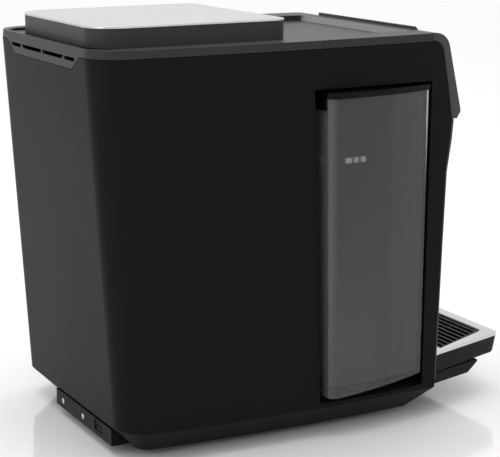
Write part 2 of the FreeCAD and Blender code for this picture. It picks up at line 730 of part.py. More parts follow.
def make_flap():
    body = new_body("chute_flap")
    reach = dim("chute_half") - 3
    pivot_y = dim("chute_back") + 3.5
    pivot_z = dim("chute_low") + 1
    prism(body, "XY", rectangle(-reach - 2, 0.5, reach + 2, dim("chute_back") - 4),
          pivot_z - 3.2, pivot_z - 1.4)
    prism(body, "XY", rectangle(-reach, 30, reach, pivot_y - 2), pivot_z - 3.2, pivot_z - 1.4)
    round_bar(body, "YZ", (pivot_y, pivot_z), 2.9, -reach, reach)
    prism(body, "XY", rectangle(-reach, pivot_y - 2.2, reach, pivot_y), pivot_z - 3.2, pivot_z - 1)
    round_bar(body, "YZ", (pivot_y, pivot_z), 1.5, -reach - 2.4, reach + 2.4)
    node(body, "chute_flap")


def make_paddle():
    body = new_body("dispense_lever")
    pivot_y = dim("chute_back") + 11
    pivot_z = dim("chute_low") - 2
    round_bar(body, "YZ", (pivot_y, pivot_z), 4.2, -22, 22)
    prism(body, "YZ", [(pivot_y - 2, pivot_z), (pivot_y - 2, 168), (pivot_y - 8, 150),
                       (pivot_y - 5.5, 149), (pivot_y + 1, 168), (pivot_y + 1, pivot_z)], -21.5, 21.5)
    round_bar(body, "YZ", (pivot_y, pivot_z), 2.05, -30, 30, cutting=True)
    node(body, "dispense_lever")
    reach = dim("chute_half") + 1
    length = reach * 2
    pin = drum("lever_pin", (-reach, pivot_y, pivot_z), 2, length, "X")
    node(pin, "lever_pin", (-reach, pivot_y, pivot_z))
    coil = spring_coil(0.45, 3.4, 1.3, 2)
    feature = doc.addObject("Part::Feature", "lever_spring")
    turn = FreeCAD.Rotation(FreeCAD.Vector(0, 1, 0), 90)
    coil.transformShape(FreeCAD.Placement(FreeCAD.Vector(0, 0, 0), turn).toMatrix())
    feature.Shape = coil
    node(feature, "lever_spring", (23.4, pivot_y, pivot_z))
    switch = new_body("lever_switch")
    deep = dim("alcove_deep") + 2.5
    prism(switch, "XZ", rectangle(-10, 236, 10, 246), deep, deep + 6.5)
    round_bar(switch, "XZ", (0, 241), 1.6, deep - 13.5, deep)
    node(switch, "lever_switch")


def spring_coil(wire, radius, pitch, turns):
    """A helical spring of square wire about Z that starts at z = 0."""
    helix = Part.makeHelix(pitch, pitch * turns, radius)
    corners = [(radius - wire, -wire), (radius + wire, -wire), (radius + wire, wire),
               (radius - wire, wire), (radius - wire, -wire)]
    section = Part.makePolygon([FreeCAD.Vector(across, 0, up) for across, up in corners])
    return Part.Wire(helix.Edges).makePipeShell([section], True, True)


def screw(shaft_radius, flight_radius, thickness, pitch, turns):
    """An auger about Z from z = 0: a round shaft with one helical flight."""
    height = pitch * turns
    helix = Part.makeHelix(pitch, height, shaft_radius)
    inner = shaft_radius - 1
    section = Part.makePolygon([
        FreeCAD.Vector(inner, 0, 0), FreeCAD.Vector(flight_radius, 0, 0),
        FreeCAD.Vector(flight_radius, 0, thickness), FreeCAD.Vector(inner, 0, thickness),
        FreeCAD.Vector(inner, 0, 0)])
    flight = Part.Wire(helix.Edges).makePipeShell([section], True, True)
    shaft = Part.makeCylinder(shaft_radius, height + thickness * 2 + 4, FreeCAD.Vector(0, 0, -2))
    return shaft.fuse(flight).removeSplitter()


def make_trough():
    """Round-bottomed channel that leads from the bin to the chute."""
    body = new_body("ice_trough")
    radius = dim("trough_radius")
    level = dim("trough_z")
    front = 0
    back = dim("bin_front") - 0.3
    top = level + radius
    round_bar(body, "XZ", (0, level), radius, front, back)
    prism(body, "XZ", rectangle(-radius, level, radius, top), front, back)
    reach = dim("chute_half") - 2.5
    behind = dim("chute_back") + 2
    prism(body, "XY", rectangle(-50, -10, 50, behind), level - radius - 5, 312.2, cutting=True)
    prism(body, "XY", rectangle(-radius, -1, radius, behind), 312.2, 314.5)
    prism(body, "XY", rectangle(-reach, 2.5, reach, behind - 4.5), 310, level, cutting=True)
    round_bar(body, "XZ", (0, level), radius - 2.5, 2.5, back, cutting=True)
    prism(body, "XZ", rectangle(2.5 - radius, level, radius - 2.5, top - 2.5), 2.5, back,
          cutting=True)
    node(body, "ice_trough")


def make_bin():
    body = new_body("ice_bin")
    reach = dim("bin_half")
    front = dim("bin_front")
    back = dim("bin_back")
    floor = dim("bin_floor")
    skin = dim("bin_wall")
    top = dim("recess_floor") - 0.5
    prism(body, "XY", rectangle(-reach, front, reach, back), floor - skin, top)
    hopper = [(-reach + skin, 352), (-30, floor), (30, floor), (reach - skin, 352),
              (reach - skin, top), (-reach + skin, top)]
    prism(body, "XZ", hopper, front + skin, back - skin, cutting=True)
    level = dim("trough_z")
    round_bar(body, "XZ", (0, level), dim("trough_radius") - 2.5, front - 1, front + skin + 1,
              cutting=True)
    round_bar(body, "XZ", (0, level), 5.05, back - skin - 1, back + 1, cutting=True)
    round_bar(body, "XZ", (dim("barrel_x"), 386), 14.2, front - 1, front + skin + 1, cutting=True)
    node(body, "ice_bin")
    foam = new_body("bin_insulation")
    prism(foam, "XY", rectangle(-reach - 12, front + 4, reach + 12, back + 2), 268, 405)
    prism(foam, "XY", rectangle(-reach - 0.3, front - 2, reach + 0.3, back + 5), floor - skin - 0.3,
          410, cutting=True)
    node(foam, "bin_insulation")
    frame = []
    for side in (-1, 1):
        outer = reach + 24
        inner = reach + 22
        low_x = outer * side if side < 0 else inner
        post = block("stand_side", (low_x, 182, pan_floor), (low_x + 2, 286, 268))
        frame.append(post)
    frame.append(block("board_shelf", (-122, 190, 164), (-26, 294, 166)))
    node(group("stand_group", frame), "bin_stand")


def make_bin_auger():
    level = dim("trough_z")
    length = DIMS["bin_back"] - 8 - 14
    pitch = 44
    shape = screw(5, 30, 2, pitch, length / pitch)
    turn = FreeCAD.Rotation(FreeCAD.Vector(1, 0, 0), -90)
    shape.transformShape(FreeCAD.Placement(FreeCAD.Vector(0, 0, 0), turn).toMatrix())
    stub = Part.makeCylinder(5, 22, FreeCAD.Vector(0, length + 4, 0), FreeCAD.Vector(0, 1, 0))
    feature = doc.addObject("Part::Feature", "bin_auger")
    feature.Shape = shape.fuse(stub).removeSplitter()
    node(feature, "bin_auger", (0, 8, level))
    motor = new_body("bin_gearmotor")
    back = dim("bin_back")
    prism(motor, "XZ", rectangle(-34, level - 30, 34, level + 30), back + 2.4, back + 26)
    round_bar(motor, "XZ", (0, level + 8), 17, back + 26, back + 40)
    round_bar(motor, "XZ", (0, level), 5.05, back + 2.4, back + 12, cutting=True)
    node(motor, "bin_gearmotor")


# ---------------------------------------------------------------- ice making
def make_barrel():
    x = dim("barrel_x")
    y = dim("barrel_y")
    radius = dim("barrel_radius")
    motor = new_body("barrel_gearmotor")
    prism(motor, "XY", rectangle(x - 40, y - 38, x + 40, y + 38), pan_floor, 66)
    round_bar(motor, "XY", (x, y), 26, 66, 88)
    round_bar(motor, "XY", (x, y), 7.05, 60, 90, cutting=True)
    node(motor, "barrel_gearmotor")
    barrel = new_body("freezing_barrel")
    round_bar(barrel, "XY", (x, y), radius, 88, 236)
    round_bar(barrel, "XY", (x, y), 22, 92, 240, cutting=True)
    round_bar(barrel, "XY", (x, y), 7.05, 80, 100, cutting=True)
    round_bar(barrel, "YZ", (y, 112), 5, x - radius - 8, x - radius + 6)
    round_bar(barrel, "YZ", (y, 112), 3.2, x - radius - 10, x - 10, cutting=True)
    node(barrel, "freezing_barrel")
    shape = screw(9, 21.4, 3, 26, 5)
    neck = Part.makeCylinder(7, 36, FreeCAD.Vector(0, 0, -36))
    feature = doc.addObject("Part::Feature", "freezing_auger")
    feature.Shape = shape.fuse(neck).removeSplitter()
    node(feature, "freezing_auger", (x, y, 98))
    head = new_body("extruder_head")
    round_bar(head, "XY", (x, y), radius, 236, 252)
    round_bar(head, "XY", (x, y), 20, 252, 262)
    round_bar(head, "XY", (x, y), 21.4, 230, 246, cutting=True)
    round_bar(head, "XY", (x, y), 11.5, 240, 270, cutting=True)
    node(head, "extruder_head")
    riser = new_body("ice_riser_tube")
    path = new_sketch(riser, "YZ", x)
    draw_bend(path, y, 262, 386, dim("bin_front") + 0.5, 26)
    profile = new_sketch(riser, "XY", 262)
    draw_circle(profile, x, y, 14)
    draw_circle(profile, x, y, 11.5)
    sweep(riser, profile, path)
    node(riser, "ice_riser_tube")


def draw_bend(sketch, start_across, start_up, level, end_across, bend):
    """Path that goes up (or down) and then turns level towards a higher first coordinate."""
    start_across, start_up, level, end_across, bend = (
        as_size(value) for value in (start_across, start_up, level, end_across, bend))
    rising = 1 if level.number > start_up.number else -1
    flat = FreeCAD.Vector(0, 0, 1)
    turn_up = level - bend if rising > 0 else level + bend
    across = start_across + bend
    first = sketch.addGeometry(Part.LineSegment(
        FreeCAD.Vector(start_across.number, start_up.number, 0),
        FreeCAD.Vector(start_across.number, turn_up.number, 0)))
    circle = Part.Circle(FreeCAD.Vector(across.number, turn_up.number, 0), flat, bend.number)
    span = (math.pi / 2, math.pi) if rising > 0 else (math.pi, 3 * math.pi / 2)
    arc = sketch.addGeometry(Part.ArcOfCircle(circle, *span))
    last = sketch.addGeometry(Part.LineSegment(
        FreeCAD.Vector(across.number, level.number, 0),
        FreeCAD.Vector(end_across.number, level.number, 0)))
    near, far = (2, 1) if rising > 0 else (1, 2)
    sketch.addConstraint(Sketcher.Constraint("Coincident", first, 2, arc, near))
    sketch.addConstraint(Sketcher.Constraint("Coincident", last, 1, arc, far))
    pin_point(sketch, first, 1, start_across, start_up)
    pin_point(sketch, first, 2, start_across, turn_up)
    pin_point(sketch, last, 1, across, level)
    pin_point(sketch, last, 2, end_across, level)
    index = sketch.addConstraint(Sketcher.Constraint("Radius", arc, bend.number))
    sketch.setExpression(f"Constraints[{index}]", bend.formula)
    return sketch


def sweep(body, profile, path):
    pipe = body.newObject("PartDesign::AdditivePipe", f"{body.Name}_pipe")
    pipe.Profile = profile
    pipe.Spine = path
    profile.Visibility = False
    path.Visibility = False
    doc.recompute()
    return pipe


# ---------------------------------------------------------------- water
def make_water_parts():
    tank = new_body("reservoir")
    prism(tank, "XY", rectangle(-100, 86, -34, 156), pan_floor, 118)
    prism(tank, "XY", rectangle(-98, 88, -36, 154), pan_floor + 2, 118, cutting=True)
    node(tank, "reservoir")
    lid = new_body("reservoir_lid")
    prism(lid, "XY", rectangle(-101, 85, -33, 157), 118, 121)
    round_bar(lid, "XY", (-60, 120), 4, 121, 127)
    node(lid, "reservoir_lid")
    seat = new_body("tank_valve_seat")
    round_bar(seat, "XY", (-126, 85), 12, dim("bay_low") + 2, dim("bay_low") + 4)
    round_bar(seat, "XY", (-126, 85), 8, dim("bay_low") - 8, dim("bay_low") + 2)
    round_bar(seat, "XY", (-126, 85), 4, dim("bay_low") - 10, dim("bay_low") + 6, cutting=True)
    node(seat, "tank_valve_seat")
    pump = new_body("water_pump")
    round_bar(pump, "XY", (0, 116), 20, pan_floor, 48)
    round_bar(pump, "XZ", (0, 24), 5, 80, 100)
    node(pump, "water_pump")
    hose = new_body("water_hose")
    path = new_sketch(hose, "XZ", 120)
    draw_bend(path, -60, 127, 152, 10, 20)
    profile = new_sketch(hose, "XY", 127)
    draw_circle(profile, -60, 120, 4)
    sweep(hose, profile, path)
    node(hose, "water_hose")
    plug = new_body("drain_plug")
    round_bar(plug, "YZ", (70, 24), 7.5, 150.5, 153.5)
    round_bar(plug, "YZ", (70, 24), 4.7, 139, 150.5)
    node(plug, "drain_plug")


# ---------------------------------------------------------------- cooling
def make_cooling_parts():
    x = dim("compressor_x")
    y = dim("compressor_y")
    radius = dim("compressor_radius")
    shell = new_body("compressor")
    round_bar(shell, "XY", (x, y), radius, 22, 176)
    prism(shell, "XY", rectangle(x - 60, y - 40, x + 60, y + 40), 19, 22)
    round_bar(shell, "XY", (x + 20, y), 5, 176, 184)
    round_bar(shell, "XY", (x - 25, y - 10), 4, 176, 182)
    node(shell, "compressor")
    grommets = []
    for dx in (-50, 50):
        for dy in (-31, 31):
            grommets.append(drum("grommet", (x + dx, y + dy, pan_floor), 8, 8))
    node(group("grommet_group", grommets), "compressor_grommets")
    fins = new_body("condenser")
    prism(fins, "XY", rectangle(-122, 325, -10, 343), 17, 165)
    slit = prism(fins, "XY", rectangle(-118, 324, -116, 341), 21, 161, cutting=True)
    row(fins, slit, "X_Axis", 6, 18)
    node(fins, "condenser")
    fx = dim("fan_x")
    fz = dim("fan_z")
    fy = dim("fan_y")
    shroud = new_body("fan_shroud")
    size = dim("fan_radius") + 8
    prism(shroud, "XZ", rectangle(fx - size, fz - size, fx + size, fz + size), fy, fy + 25)
    round_bar(shroud, "XZ", (fx, fz), dim("fan_radius") + 2, fy - 1, fy + 22, cutting=True)
    round_bar(shroud, "XZ", (fx, fz), dim("fan_radius") - 8, fy + 20, fy + 26, cutting=True)
    prism(shroud, "XZ", rectangle(fx - 4, fz - dim("fan_radius") - 1, fx + 4,
                                  fz + dim("fan_radius") + 1), fy + 22, fy + 25)
    node(shroud, "fan_shroud")
    motor = new_body("fan_motor")
    round_bar(motor, "XZ", (fx, fz), 16, fy + 14, fy + 22)
    round_bar(motor, "XZ", (fx, fz), 2, fy + 4, fy + 14)
    node(motor, "fan_motor")
    pieces = [drum("fan_hub", (fx, fy + 3, fz), 17, 9, "Y")]
    for step in range(7):
        blade = doc.addObject("Part::Box", "blade")
        bind(blade, "Length", 22)
        bind(blade, "Width", 1.6)
        bind(blade, "Height", dim("fan_radius") - 16)
        tilt = FreeCAD.Placement(FreeCAD.Vector(-9, -3.5, 15), FreeCAD.Rotation())
        pitch = FreeCAD.Placement(FreeCAD.Vector(0, 0, 0),
                                  FreeCAD.Rotation(FreeCAD.Vector(0, 0, 1), 22))
        spin = FreeCAD.Placement(FreeCAD.Vector(0, 0, 0),
                                 FreeCAD.Rotation(FreeCAD.Vector(0, 1, 0), 360 / 7 * step))
        move = FreeCAD.Placement(FreeCAD.Vector(fx.number, fy.number + 8, fz.number),
                                 FreeCAD.Rotation())
        blade.Placement = move.multiply(spin).multiply(pitch).multiply(tilt)
        pieces.append(blade)
    wheel = fused("fan_wheel", *pieces)
    bore = drum("fan_bore", (fx, fy + 3, fz), 2.05, 10, "Y")
    node(cut("fan_rotor", wheel, bore), "fan_rotor")
    pipe = new_body("refrigerant_pipe")
    path = new_sketch(pipe, "YZ", x + 20)
    draw_bend(path, y, 184, 200, 352, 14)
    profile = new_sketch(pipe, "XY", 184)
    draw_circle(profile, x + 20, y, 3)
    sweep(pipe, profile, path)
    node(pipe, "refrigerant_pipe")
    board = new_body("power_board")
    prism(board, "XY", rectangle(-100, 200, -30, 280), 172, 174)
    prism(board, "XY", rectangle(-90, 215, -60, 245), 174, 196)
    prism(board, "XY", rectangle(-50, 210, -38, 260), 174, 186)
    for px in (-96, -34):
        for py in (204, 276):
            round_bar(board, "XY", (px, py), 3, 166, 172)
    node(board, "power_board")
    inlet = new_body("power_inlet")
    prism(inlet, "XZ", rectangle(-84.8, 15.2, -63.2, 25.8), rear_low - 7, rear_low - 3)
    for x in (-79, -69):
        round_bar(inlet, "XZ", (x, 20.5), 1.6, rear_low - 6, rear_low - 2, cutting=True)
    node(inlet, "power_inlet")


# ---------------------------------------------------------------- water tank
def tank_plan(sketch, grow, shift):
    """Plan of the tank: flat inside and ends, and an outer face that bows out to the rear."""
    grow = as_size(grow)
    inner = -dim("tank_inner") - grow
    front = 16 + shift + grow
    back = 145.5 - shift * 0.25 - grow
    root_x = -(154.6 - grow)
    far_x = -(155 + dim("tank_bulge") - grow)
    corner_y = back - 7
    line = Part.LineSegment
    spot = lambda a, b: FreeCAD.Vector(as_size(a).number, as_size(b).number, 0)
    radius = dim("tank_face_radius") - grow
    wall_front = sketch.addGeometry(line(spot(inner, front), spot(root_x, front)))
    near = spot(root_x, front)
    far = spot(far_x, corner_y)
    across = (far - near) / 2
    rise = math.sqrt(radius.number ** 2 - across.Length ** 2) / across.Length
    centre = near + across + FreeCAD.Vector(across.y, -across.x, 0) * rise
    turns = [math.atan2(p.y - centre.y, p.x - centre.x) % (2 * math.pi) for p in (far, near)]
    circle = Part.Circle(centre, FreeCAD.Vector(0, 0, 1), radius.number)
    face = sketch.addGeometry(Part.ArcOfCircle(circle, *turns))
    bend = sketch.addGeometry(line(far, spot(far_x + 7, back)))
    wall_back = sketch.addGeometry(line(spot(far_x + 7, back), spot(inner, back)))
    wall_in = sketch.addGeometry(line(spot(inner, back), spot(inner, front)))
    joins = [(wall_front, 2, face, 2), (face, 1, bend, 1), (bend, 2, wall_back, 1),
             (wall_back, 2, wall_in, 1), (wall_in, 2, wall_front, 1)]
    for join in joins:
        sketch.addConstraint(Sketcher.Constraint("Coincident", *join))
    pin_point(sketch, wall_front, 1, inner, front)
    pin_point(sketch, wall_front, 2, root_x, front)
    pin_point(sketch, bend, 1, far_x, corner_y)
    pin_point(sketch, bend, 2, far_x + 7, back)
    pin_point(sketch, wall_back, 2, inner, back)
    index = sketch.addConstraint(Sketcher.Constraint("Radius", face, radius.number))
    sketch.setExpression(f"Constraints[{index}]", radius.formula)
    return sketch


def make_tank():
    low = dim("tank_low")
    high = dim("tank_high")
    skin = dim("tank_wall")
    body = new_body("water_tank")
    lower = new_sketch(body, "XY", low)
    upper = new_sketch(body, "XY", high)
    tank_plan(lower, 0, 6)
    tank_plan(upper, 0, 0)
    loft(body, lower, upper)
    lower = new_sketch(body, "XY", dim("tank_floor"))
    upper = new_sketch(body, "XY", high)
    tank_plan(lower, skin, 6)
    tank_plan(upper, skin, 0)
    loft(body, lower, upper, cutting=True)
    under = [(150, low - 1), (150, low), (10, low + 9), (10, low - 1)]
    prism(body, "YZ", under, -190, -100, cutting=True)
    round_bar(body, "XY", (-132, 85), 9, low - 1, dim("tank_floor") + 1, cutting=True)
    node(body, "water_tank")
    cap = new_body("tank_cap")
    top = high + dim("cap_thick")
    lower = new_sketch(cap, "XY", high + 0.2)
    upper = new_sketch(cap, "XY", top)
    tank_plan(lower, -1, 0)
    tank_plan(upper, -1, 0)
    loft(cap, lower, upper)
    prism(cap, "XY", rectangle(-148, 40, -125, 120), high + 2.2, top, cutting=True)
    prism(cap, "XY", rectangle(-167, 145.8, -118, 147.4), 350, high + 0.3)
    node(cap, "tank_cap")
    valve = new_body("tank_valve")
    round_bar(valve, "XY", (-132, 85), 8.9, low + 4.5, dim("tank_floor") + 4)
    node(valve, "tank_valve")


# ---------------------------------------------------------------- drip tray
def tray_points(shrink, taper=0):
    """Plan of the tray: a wide tongue in front and a narrower neck that enters the alcove."""
    front = shrink + taper - dim("tray_reach")
    front_half = dim("tray_front_half") - shrink
    root_half = dim("tray_root_half") - shrink
    neck = dim("neck_half") - shrink
    back = dim("neck_back") - shrink
    root = -2.6 - as_size(shrink)
    bend = dim("tray_corner")
    return [(bend - front_half, front), (front_half - bend, front), (front_half, front + bend),
            (root_half, root), (neck, root), (neck, back), (-neck, back), (-neck, root),
            (-root_half, root), (-front_half, front + bend)]


def tray_loft(body, low, high, shrink, cutting=False):
    """The tray's body narrows a little towards its foot at the front."""
    sketches = []
    for level, taper in ((low, dim("tray_taper")), (high, 0)):
        sketch = new_sketch(body, "XY", level)
        sketches.append(draw_polygon(sketch, tray_points(shrink, taper)))
    loft(body, sketches[0], sketches[1], cutting)


def make_tray():
    low = dim("tray_low")
    high = dim("tray_high")
    width = dim("rim_width")
    body = new_body("drip_tray")
    tray_loft(body, low, high, 0.5)
    tray_loft(body, low + 2.5, high, 6, cutting=True)
    node(body, "drip_tray")
    rim = new_body("tray_rim")
    prism(rim, "XY", tray_points(0), high, dim("rim_high"))
    prism(rim, "XY", tray_points(width), high, dim("rim_high"), cutting=True)
    node(rim, "tray_rim")
    frame = new_body("grille_frame")
    prism(frame, "XY", tray_points(width + 0.4), high + 0.2, dim("rim_high") - 0.6)
    prism(frame, "XY", tray_points(width + 3.4), high + 0.2, dim("rim_high") - 0.6, cutting=True)
    field = new_body("grille_field")
    prism(field, "XY", tray_points(width + 2), high + 0.2, dim("rim_high") - 0.6)
    bars = []
    reach = dim("tray_root_half")
    pitch = dim("slat_pitch")
    count = int((DIMS["tray_reach"] + DIMS["neck_back"] - 30) / DIMS["slat_pitch"]) + 1
    for step in range(count):
        start = dim("rim_width") + 5 - dim("tray_reach") + pitch * step
        bars.append(block("bar", (-reach, start, high - 1), (reach, start + 4, dim("rim_high"))))
    for x in (-62, 0, 62):
        bars.append(block("rib", (x - 1.5, -dim("tray_reach"), high - 1),
                          (x + 1.5, dim("neck_back"), dim("rim_high") - 1.4)))
    slats = doc.addObject("Part::MultiCommon", "slats")
    slats.Shapes = [fused("bars", *bars), field]
    node(fused("tray_grille", slats, frame), "tray_grille")


# ---------------------------------------------------------------- lid
def lid_block(body, inset, low, high, cutting=False):
    reach = dim("lid_half") - inset
    points = rectangle(-reach, dim("lid_front") + inset, reach, dim("lid_back") - inset)
    return prism(body, "XY", points, low, high, cutting)


def round_lid_corners(body, inset):
    """Round the upright corners that lie at one inset: wide at the rear, tight at the front."""
    inset = as_size(inset)
    edge = DIMS["lid_half"] - inset.number
    middle = (DIMS["lid_front"] + DIMS["lid_back"]) / 2
    for rear, radius in ((True, dim("lid_corner")), (False, dim("lid_front_corner"))):
        fillet_edges(body, radius - inset, lambda a, b, rear=rear: (
            upright(a, b) and abs(abs(a.x) - edge) < 0.01 and (a.y > middle) == rear))


def make_lid():
    low = dim("lid_low")
    high = dim("lid_high")
    body = new_body("lid")
    skin = dim("lid_wall")
    lid_block(body, 0, low, high)
    lid_block(body, skin, low, high - skin, cutting=True)
    round_lid_corners(body, skin)
    round_lid_corners(body, 0)
    for side in (-1, 1):
        middle = dim("hinge_x") * side
        pivot = dim("hinge_y")
        over = dim("hinge_z") + 5.3
        prism(body, "XY", rectangle(middle - 12, pivot - 7.5, middle + 12, pivot + 4.5), low, over)
        prism(body, "XY", rectangle(middle - 4.4, pivot - 8.5, middle + 4.4, pivot + 3.5),
              low - 1, over + 1, cutting=True)
        round_bar(body, "YZ", (dim("hinge_y"), dim("hinge_z")), 1.56, middle - 11, middle + 11,
                  cutting=True)
    node(body, "lid")
    plate = new_body("lid_plate")
    lid_block(plate, -0.6, high, high + dim("lid_plate"))
    round_lid_corners(plate, -0.6)
    node(plate, "lid_plate")
    seal = new_body("lid_seal")
    prism(seal, "XY", rectangle(-107, 168.4, 107, 346), low - 0.6, low + 2)
    prism(seal, "XY", rectangle(-102, 172.2, 102, 341.5), low - 2, low + 3, cutting=True)
    node(seal, "lid_seal")
    inner = new_body("lid_liner")
    prism(inner, "XY", rectangle(-101.8, 172.4, 101.8, 341.3), low, low + 2)
    node(inner, "lid_liner")
    pins = []
    for side in (-1, 1):
        start = dim("hinge_x") * side - 10.5
        pins.append(drum("pin", (start, dim("hinge_y"), dim("hinge_z")), 1.5, 21, "X"))
    node(group("pin_group", pins), "lid_hinge_pins")


def make_screws():
    """Cross-head screws that hold the cover to the base, in the recess of the rear strip."""
    heads = []
    for x in (-30, 30):
        heads.append(drum("screw", (x, rear_low - 2, 19), 3.2, 1.2, "Y"))
    node(group("screw_group", heads), "cover_screws")


make_base_pan()
make_base_rear_strip()
make_feet()
make_front_shelf()
make_wrap_housing()
make_bay_liner()
make_rear_trim()
make_front_deck()
make_front_bezel()
make_control_panel()
make_front_panel()
make_alcove_liner()
make_chute()
make_flap()
make_paddle()
make_trough()
make_bin()
make_bin_auger()
make_barrel()
make_water_parts()
make_cooling_parts()
make_tank()
make_tray()
make_lid()
make_screws()
doc.recompute()

for thing in doc.Objects:
    if "Invalid" in thing.State or "Error" in thing.State:
        raise RuntimeError(f"{thing.Label} failed: {thing.State}")
os.makedirs("parts", exist_ok=True)
whole = FreeCAD.BoundBox()
for thing in NODES:
    shape = thing.Shape
    if shape.isNull() or not shape.isValid():
        raise RuntimeError(f"{thing.Label} has no valid shape")
    whole.add(shape.BoundBox)
    shape.exportStep(f"parts/{thing.Label}.step")
print(len(NODES), "nodes; box", whole)
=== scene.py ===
# %% [markdown]
# # Looks for a countertop ice maker
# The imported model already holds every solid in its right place. This lesson gives those solids
# soft edges and real finishes, adds the small detail that moulded and pressed parts have, and
# stands the machine in a plain white studio.

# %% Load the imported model
import json
import math
import bmesh
import bpy
from mathutils import Matrix, Vector


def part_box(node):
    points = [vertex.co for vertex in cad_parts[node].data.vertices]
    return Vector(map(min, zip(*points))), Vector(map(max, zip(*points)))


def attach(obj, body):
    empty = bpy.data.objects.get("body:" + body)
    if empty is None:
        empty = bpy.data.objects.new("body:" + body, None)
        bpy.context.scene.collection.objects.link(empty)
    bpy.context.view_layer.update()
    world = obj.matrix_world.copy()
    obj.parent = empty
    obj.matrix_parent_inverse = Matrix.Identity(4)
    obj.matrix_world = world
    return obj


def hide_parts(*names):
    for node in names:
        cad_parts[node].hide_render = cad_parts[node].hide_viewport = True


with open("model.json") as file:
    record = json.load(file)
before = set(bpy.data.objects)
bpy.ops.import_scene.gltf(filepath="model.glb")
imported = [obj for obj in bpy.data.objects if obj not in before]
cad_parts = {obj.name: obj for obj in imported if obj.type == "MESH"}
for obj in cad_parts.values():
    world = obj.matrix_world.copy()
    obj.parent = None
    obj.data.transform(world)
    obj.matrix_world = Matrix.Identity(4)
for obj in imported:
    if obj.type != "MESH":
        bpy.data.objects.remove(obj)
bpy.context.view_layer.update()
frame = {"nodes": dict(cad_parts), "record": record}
MM = 0.001
scene = bpy.context.scene

# %% [markdown]
# ## Camera
# The machine is seen from behind its tank side, a little above the worktop. A long lens keeps
# its upright edges nearly parallel. The camera is placed by turning around a point near the
# middle of the machine, because then each number has a meaning of its own.

# %% Aim a long lens at the middle of the machine
AIM = Vector((25.7, 2.4, 192.4)) * MM
DISTANCE = 1.9
HEADING = math.radians(-26.55)
DROP = math.radians(12.07)
ROLL = math.radians(0.4)

forward = Vector((math.cos(DROP) * math.cos(HEADING), math.cos(DROP) * math.sin(HEADING),
                  -math.sin(DROP)))
right = forward.cross(Vector((0, 0, 1))).normalized()
upward = right.cross(forward)
tilt = Matrix.Rotation(ROLL, 3, forward)
right = tilt @ right
upward = tilt @ upward
turn = Matrix((right, upward, -forward)).transposed().to_4x4()
lens = bpy.data.cameras.new("studio_camera")
lens.lens = 120.7
lens.clip_end = 60
camera = bpy.data.objects.new("studio_camera", lens)
camera.matrix_world = Matrix.Translation(AIM - forward * DISTANCE) @ turn
scene.collection.objects.link(camera)
scene.camera = camera
print("camera at", [round(value, 3) for value in camera.matrix_world.translation])

# %% [markdown]
# ## Light
# A white studio: an even white surround, a large soft box overhead and two narrow strips behind
# the machine, which draw the soft upright highlights of its rear corner. Black plastic shows its
# form by what it mirrors, so the place of the lights matters more than their strength.

# %% Build the soft boxes and the surround
def soft_box(name, place, target, width, height, power):
    lamp = bpy.data.lights.new(name, "AREA")
    lamp.shape = "RECTANGLE"
    lamp.size = width
    lamp.size_y = height
    lamp.energy = power
    holder = bpy.data.objects.new(name, lamp)
    aim = (Vector(target) - Vector(place)).to_track_quat("-Z", "Y").to_matrix().to_4x4()
    holder.matrix_world = Matrix.Translation(Vector(place)) @ aim
    scene.collection.objects.link(holder)
    return holder


soft_box("overhead_box", (0.1, 0.2, 2.6), (0, 0, 0.3), 2.2, 2.2, 24)
soft_box("corner_strip", (-0.62, 1.75, 0.5), (-0.1, 0.2, 0.25), 0.10, 1.3, 1.7)
soft_box("second_strip", (-0.15, 1.9, 0.5), (-0.1, 0.2, 0.25), 0.07, 1.3, 0.9)
surround = bpy.data.worlds.new("white_surround")
surround.use_nodes = True
sky = surround.node_tree.nodes["Background"]
sky.inputs["Color"].default_value = (1, 1, 1, 1)
sky.inputs["Strength"].default_value = 1.0
scene.world = surround
scene.view_settings.view_transform = "Standard"

# %% [markdown]
# ## Helpers for materials
# An effect that several finishes share, such as the fine grain of moulded plastic, is a node
# group: it is wired once and each material places it with its own numbers.

# %% Build a group with named inputs and outputs
def shader_group(name, inputs, outputs):
    group = bpy.data.node_groups.new(name, "ShaderNodeTree")
    for label, value in inputs.items():
        socket = group.interface.new_socket(label, in_out="INPUT", socket_type="NodeSocketFloat")
        socket.default_value = value
    for label in outputs:
        group.interface.new_socket(label, in_out="OUTPUT", socket_type="NodeSocketFloat")
    enter = group.nodes.new("NodeGroupInput")
    leave = group.nodes.new("NodeGroupOutput")
    return group, enter.outputs, leave.inputs


def calculate(tree, operation, first, second=0.0, third=0.0):
    """A Math node: each value is a number or another node's socket."""
    step = tree.nodes.new("ShaderNodeMath")
    step.operation = operation
    for slot, value in zip(step.inputs, (first, second, third)):
        if isinstance(value, (int, float)):
            slot.default_value = value
        else:
            tree.links.new(value, slot)
    return step.outputs[0]


def object_axes(tree):
    """The point on the piece, in metres, as X, Y and Z."""
    place = tree.nodes.new("ShaderNodeTexCoord")
    split = tree.nodes.new("ShaderNodeSeparateXYZ")
    tree.links.new(place.outputs["Object"], split.inputs[0])
    return place.outputs["Object"], split.outputs


def noise(tree, vector, scale, detail=3.0):
    cloud = tree.nodes.new("ShaderNodeTexNoise")
    cloud.inputs["Detail"].default_value = detail
    tree.links.new(vector, cloud.inputs["Vector"])
    if isinstance(scale, (int, float)):
        cloud.inputs["Scale"].default_value = scale
    else:
        tree.links.new(scale, cloud.inputs["Scale"])
    return cloud.outputs[0]


# %% [markdown]
# ### Moulded grain
# Black housings come out of a mould whose walls were etched, so they have a fine even grain that
# scatters the light, and their sheen drifts slightly over a large face. The group gives a height
# for the grain, a roughness that drifts and a tone that does the same to the colour.

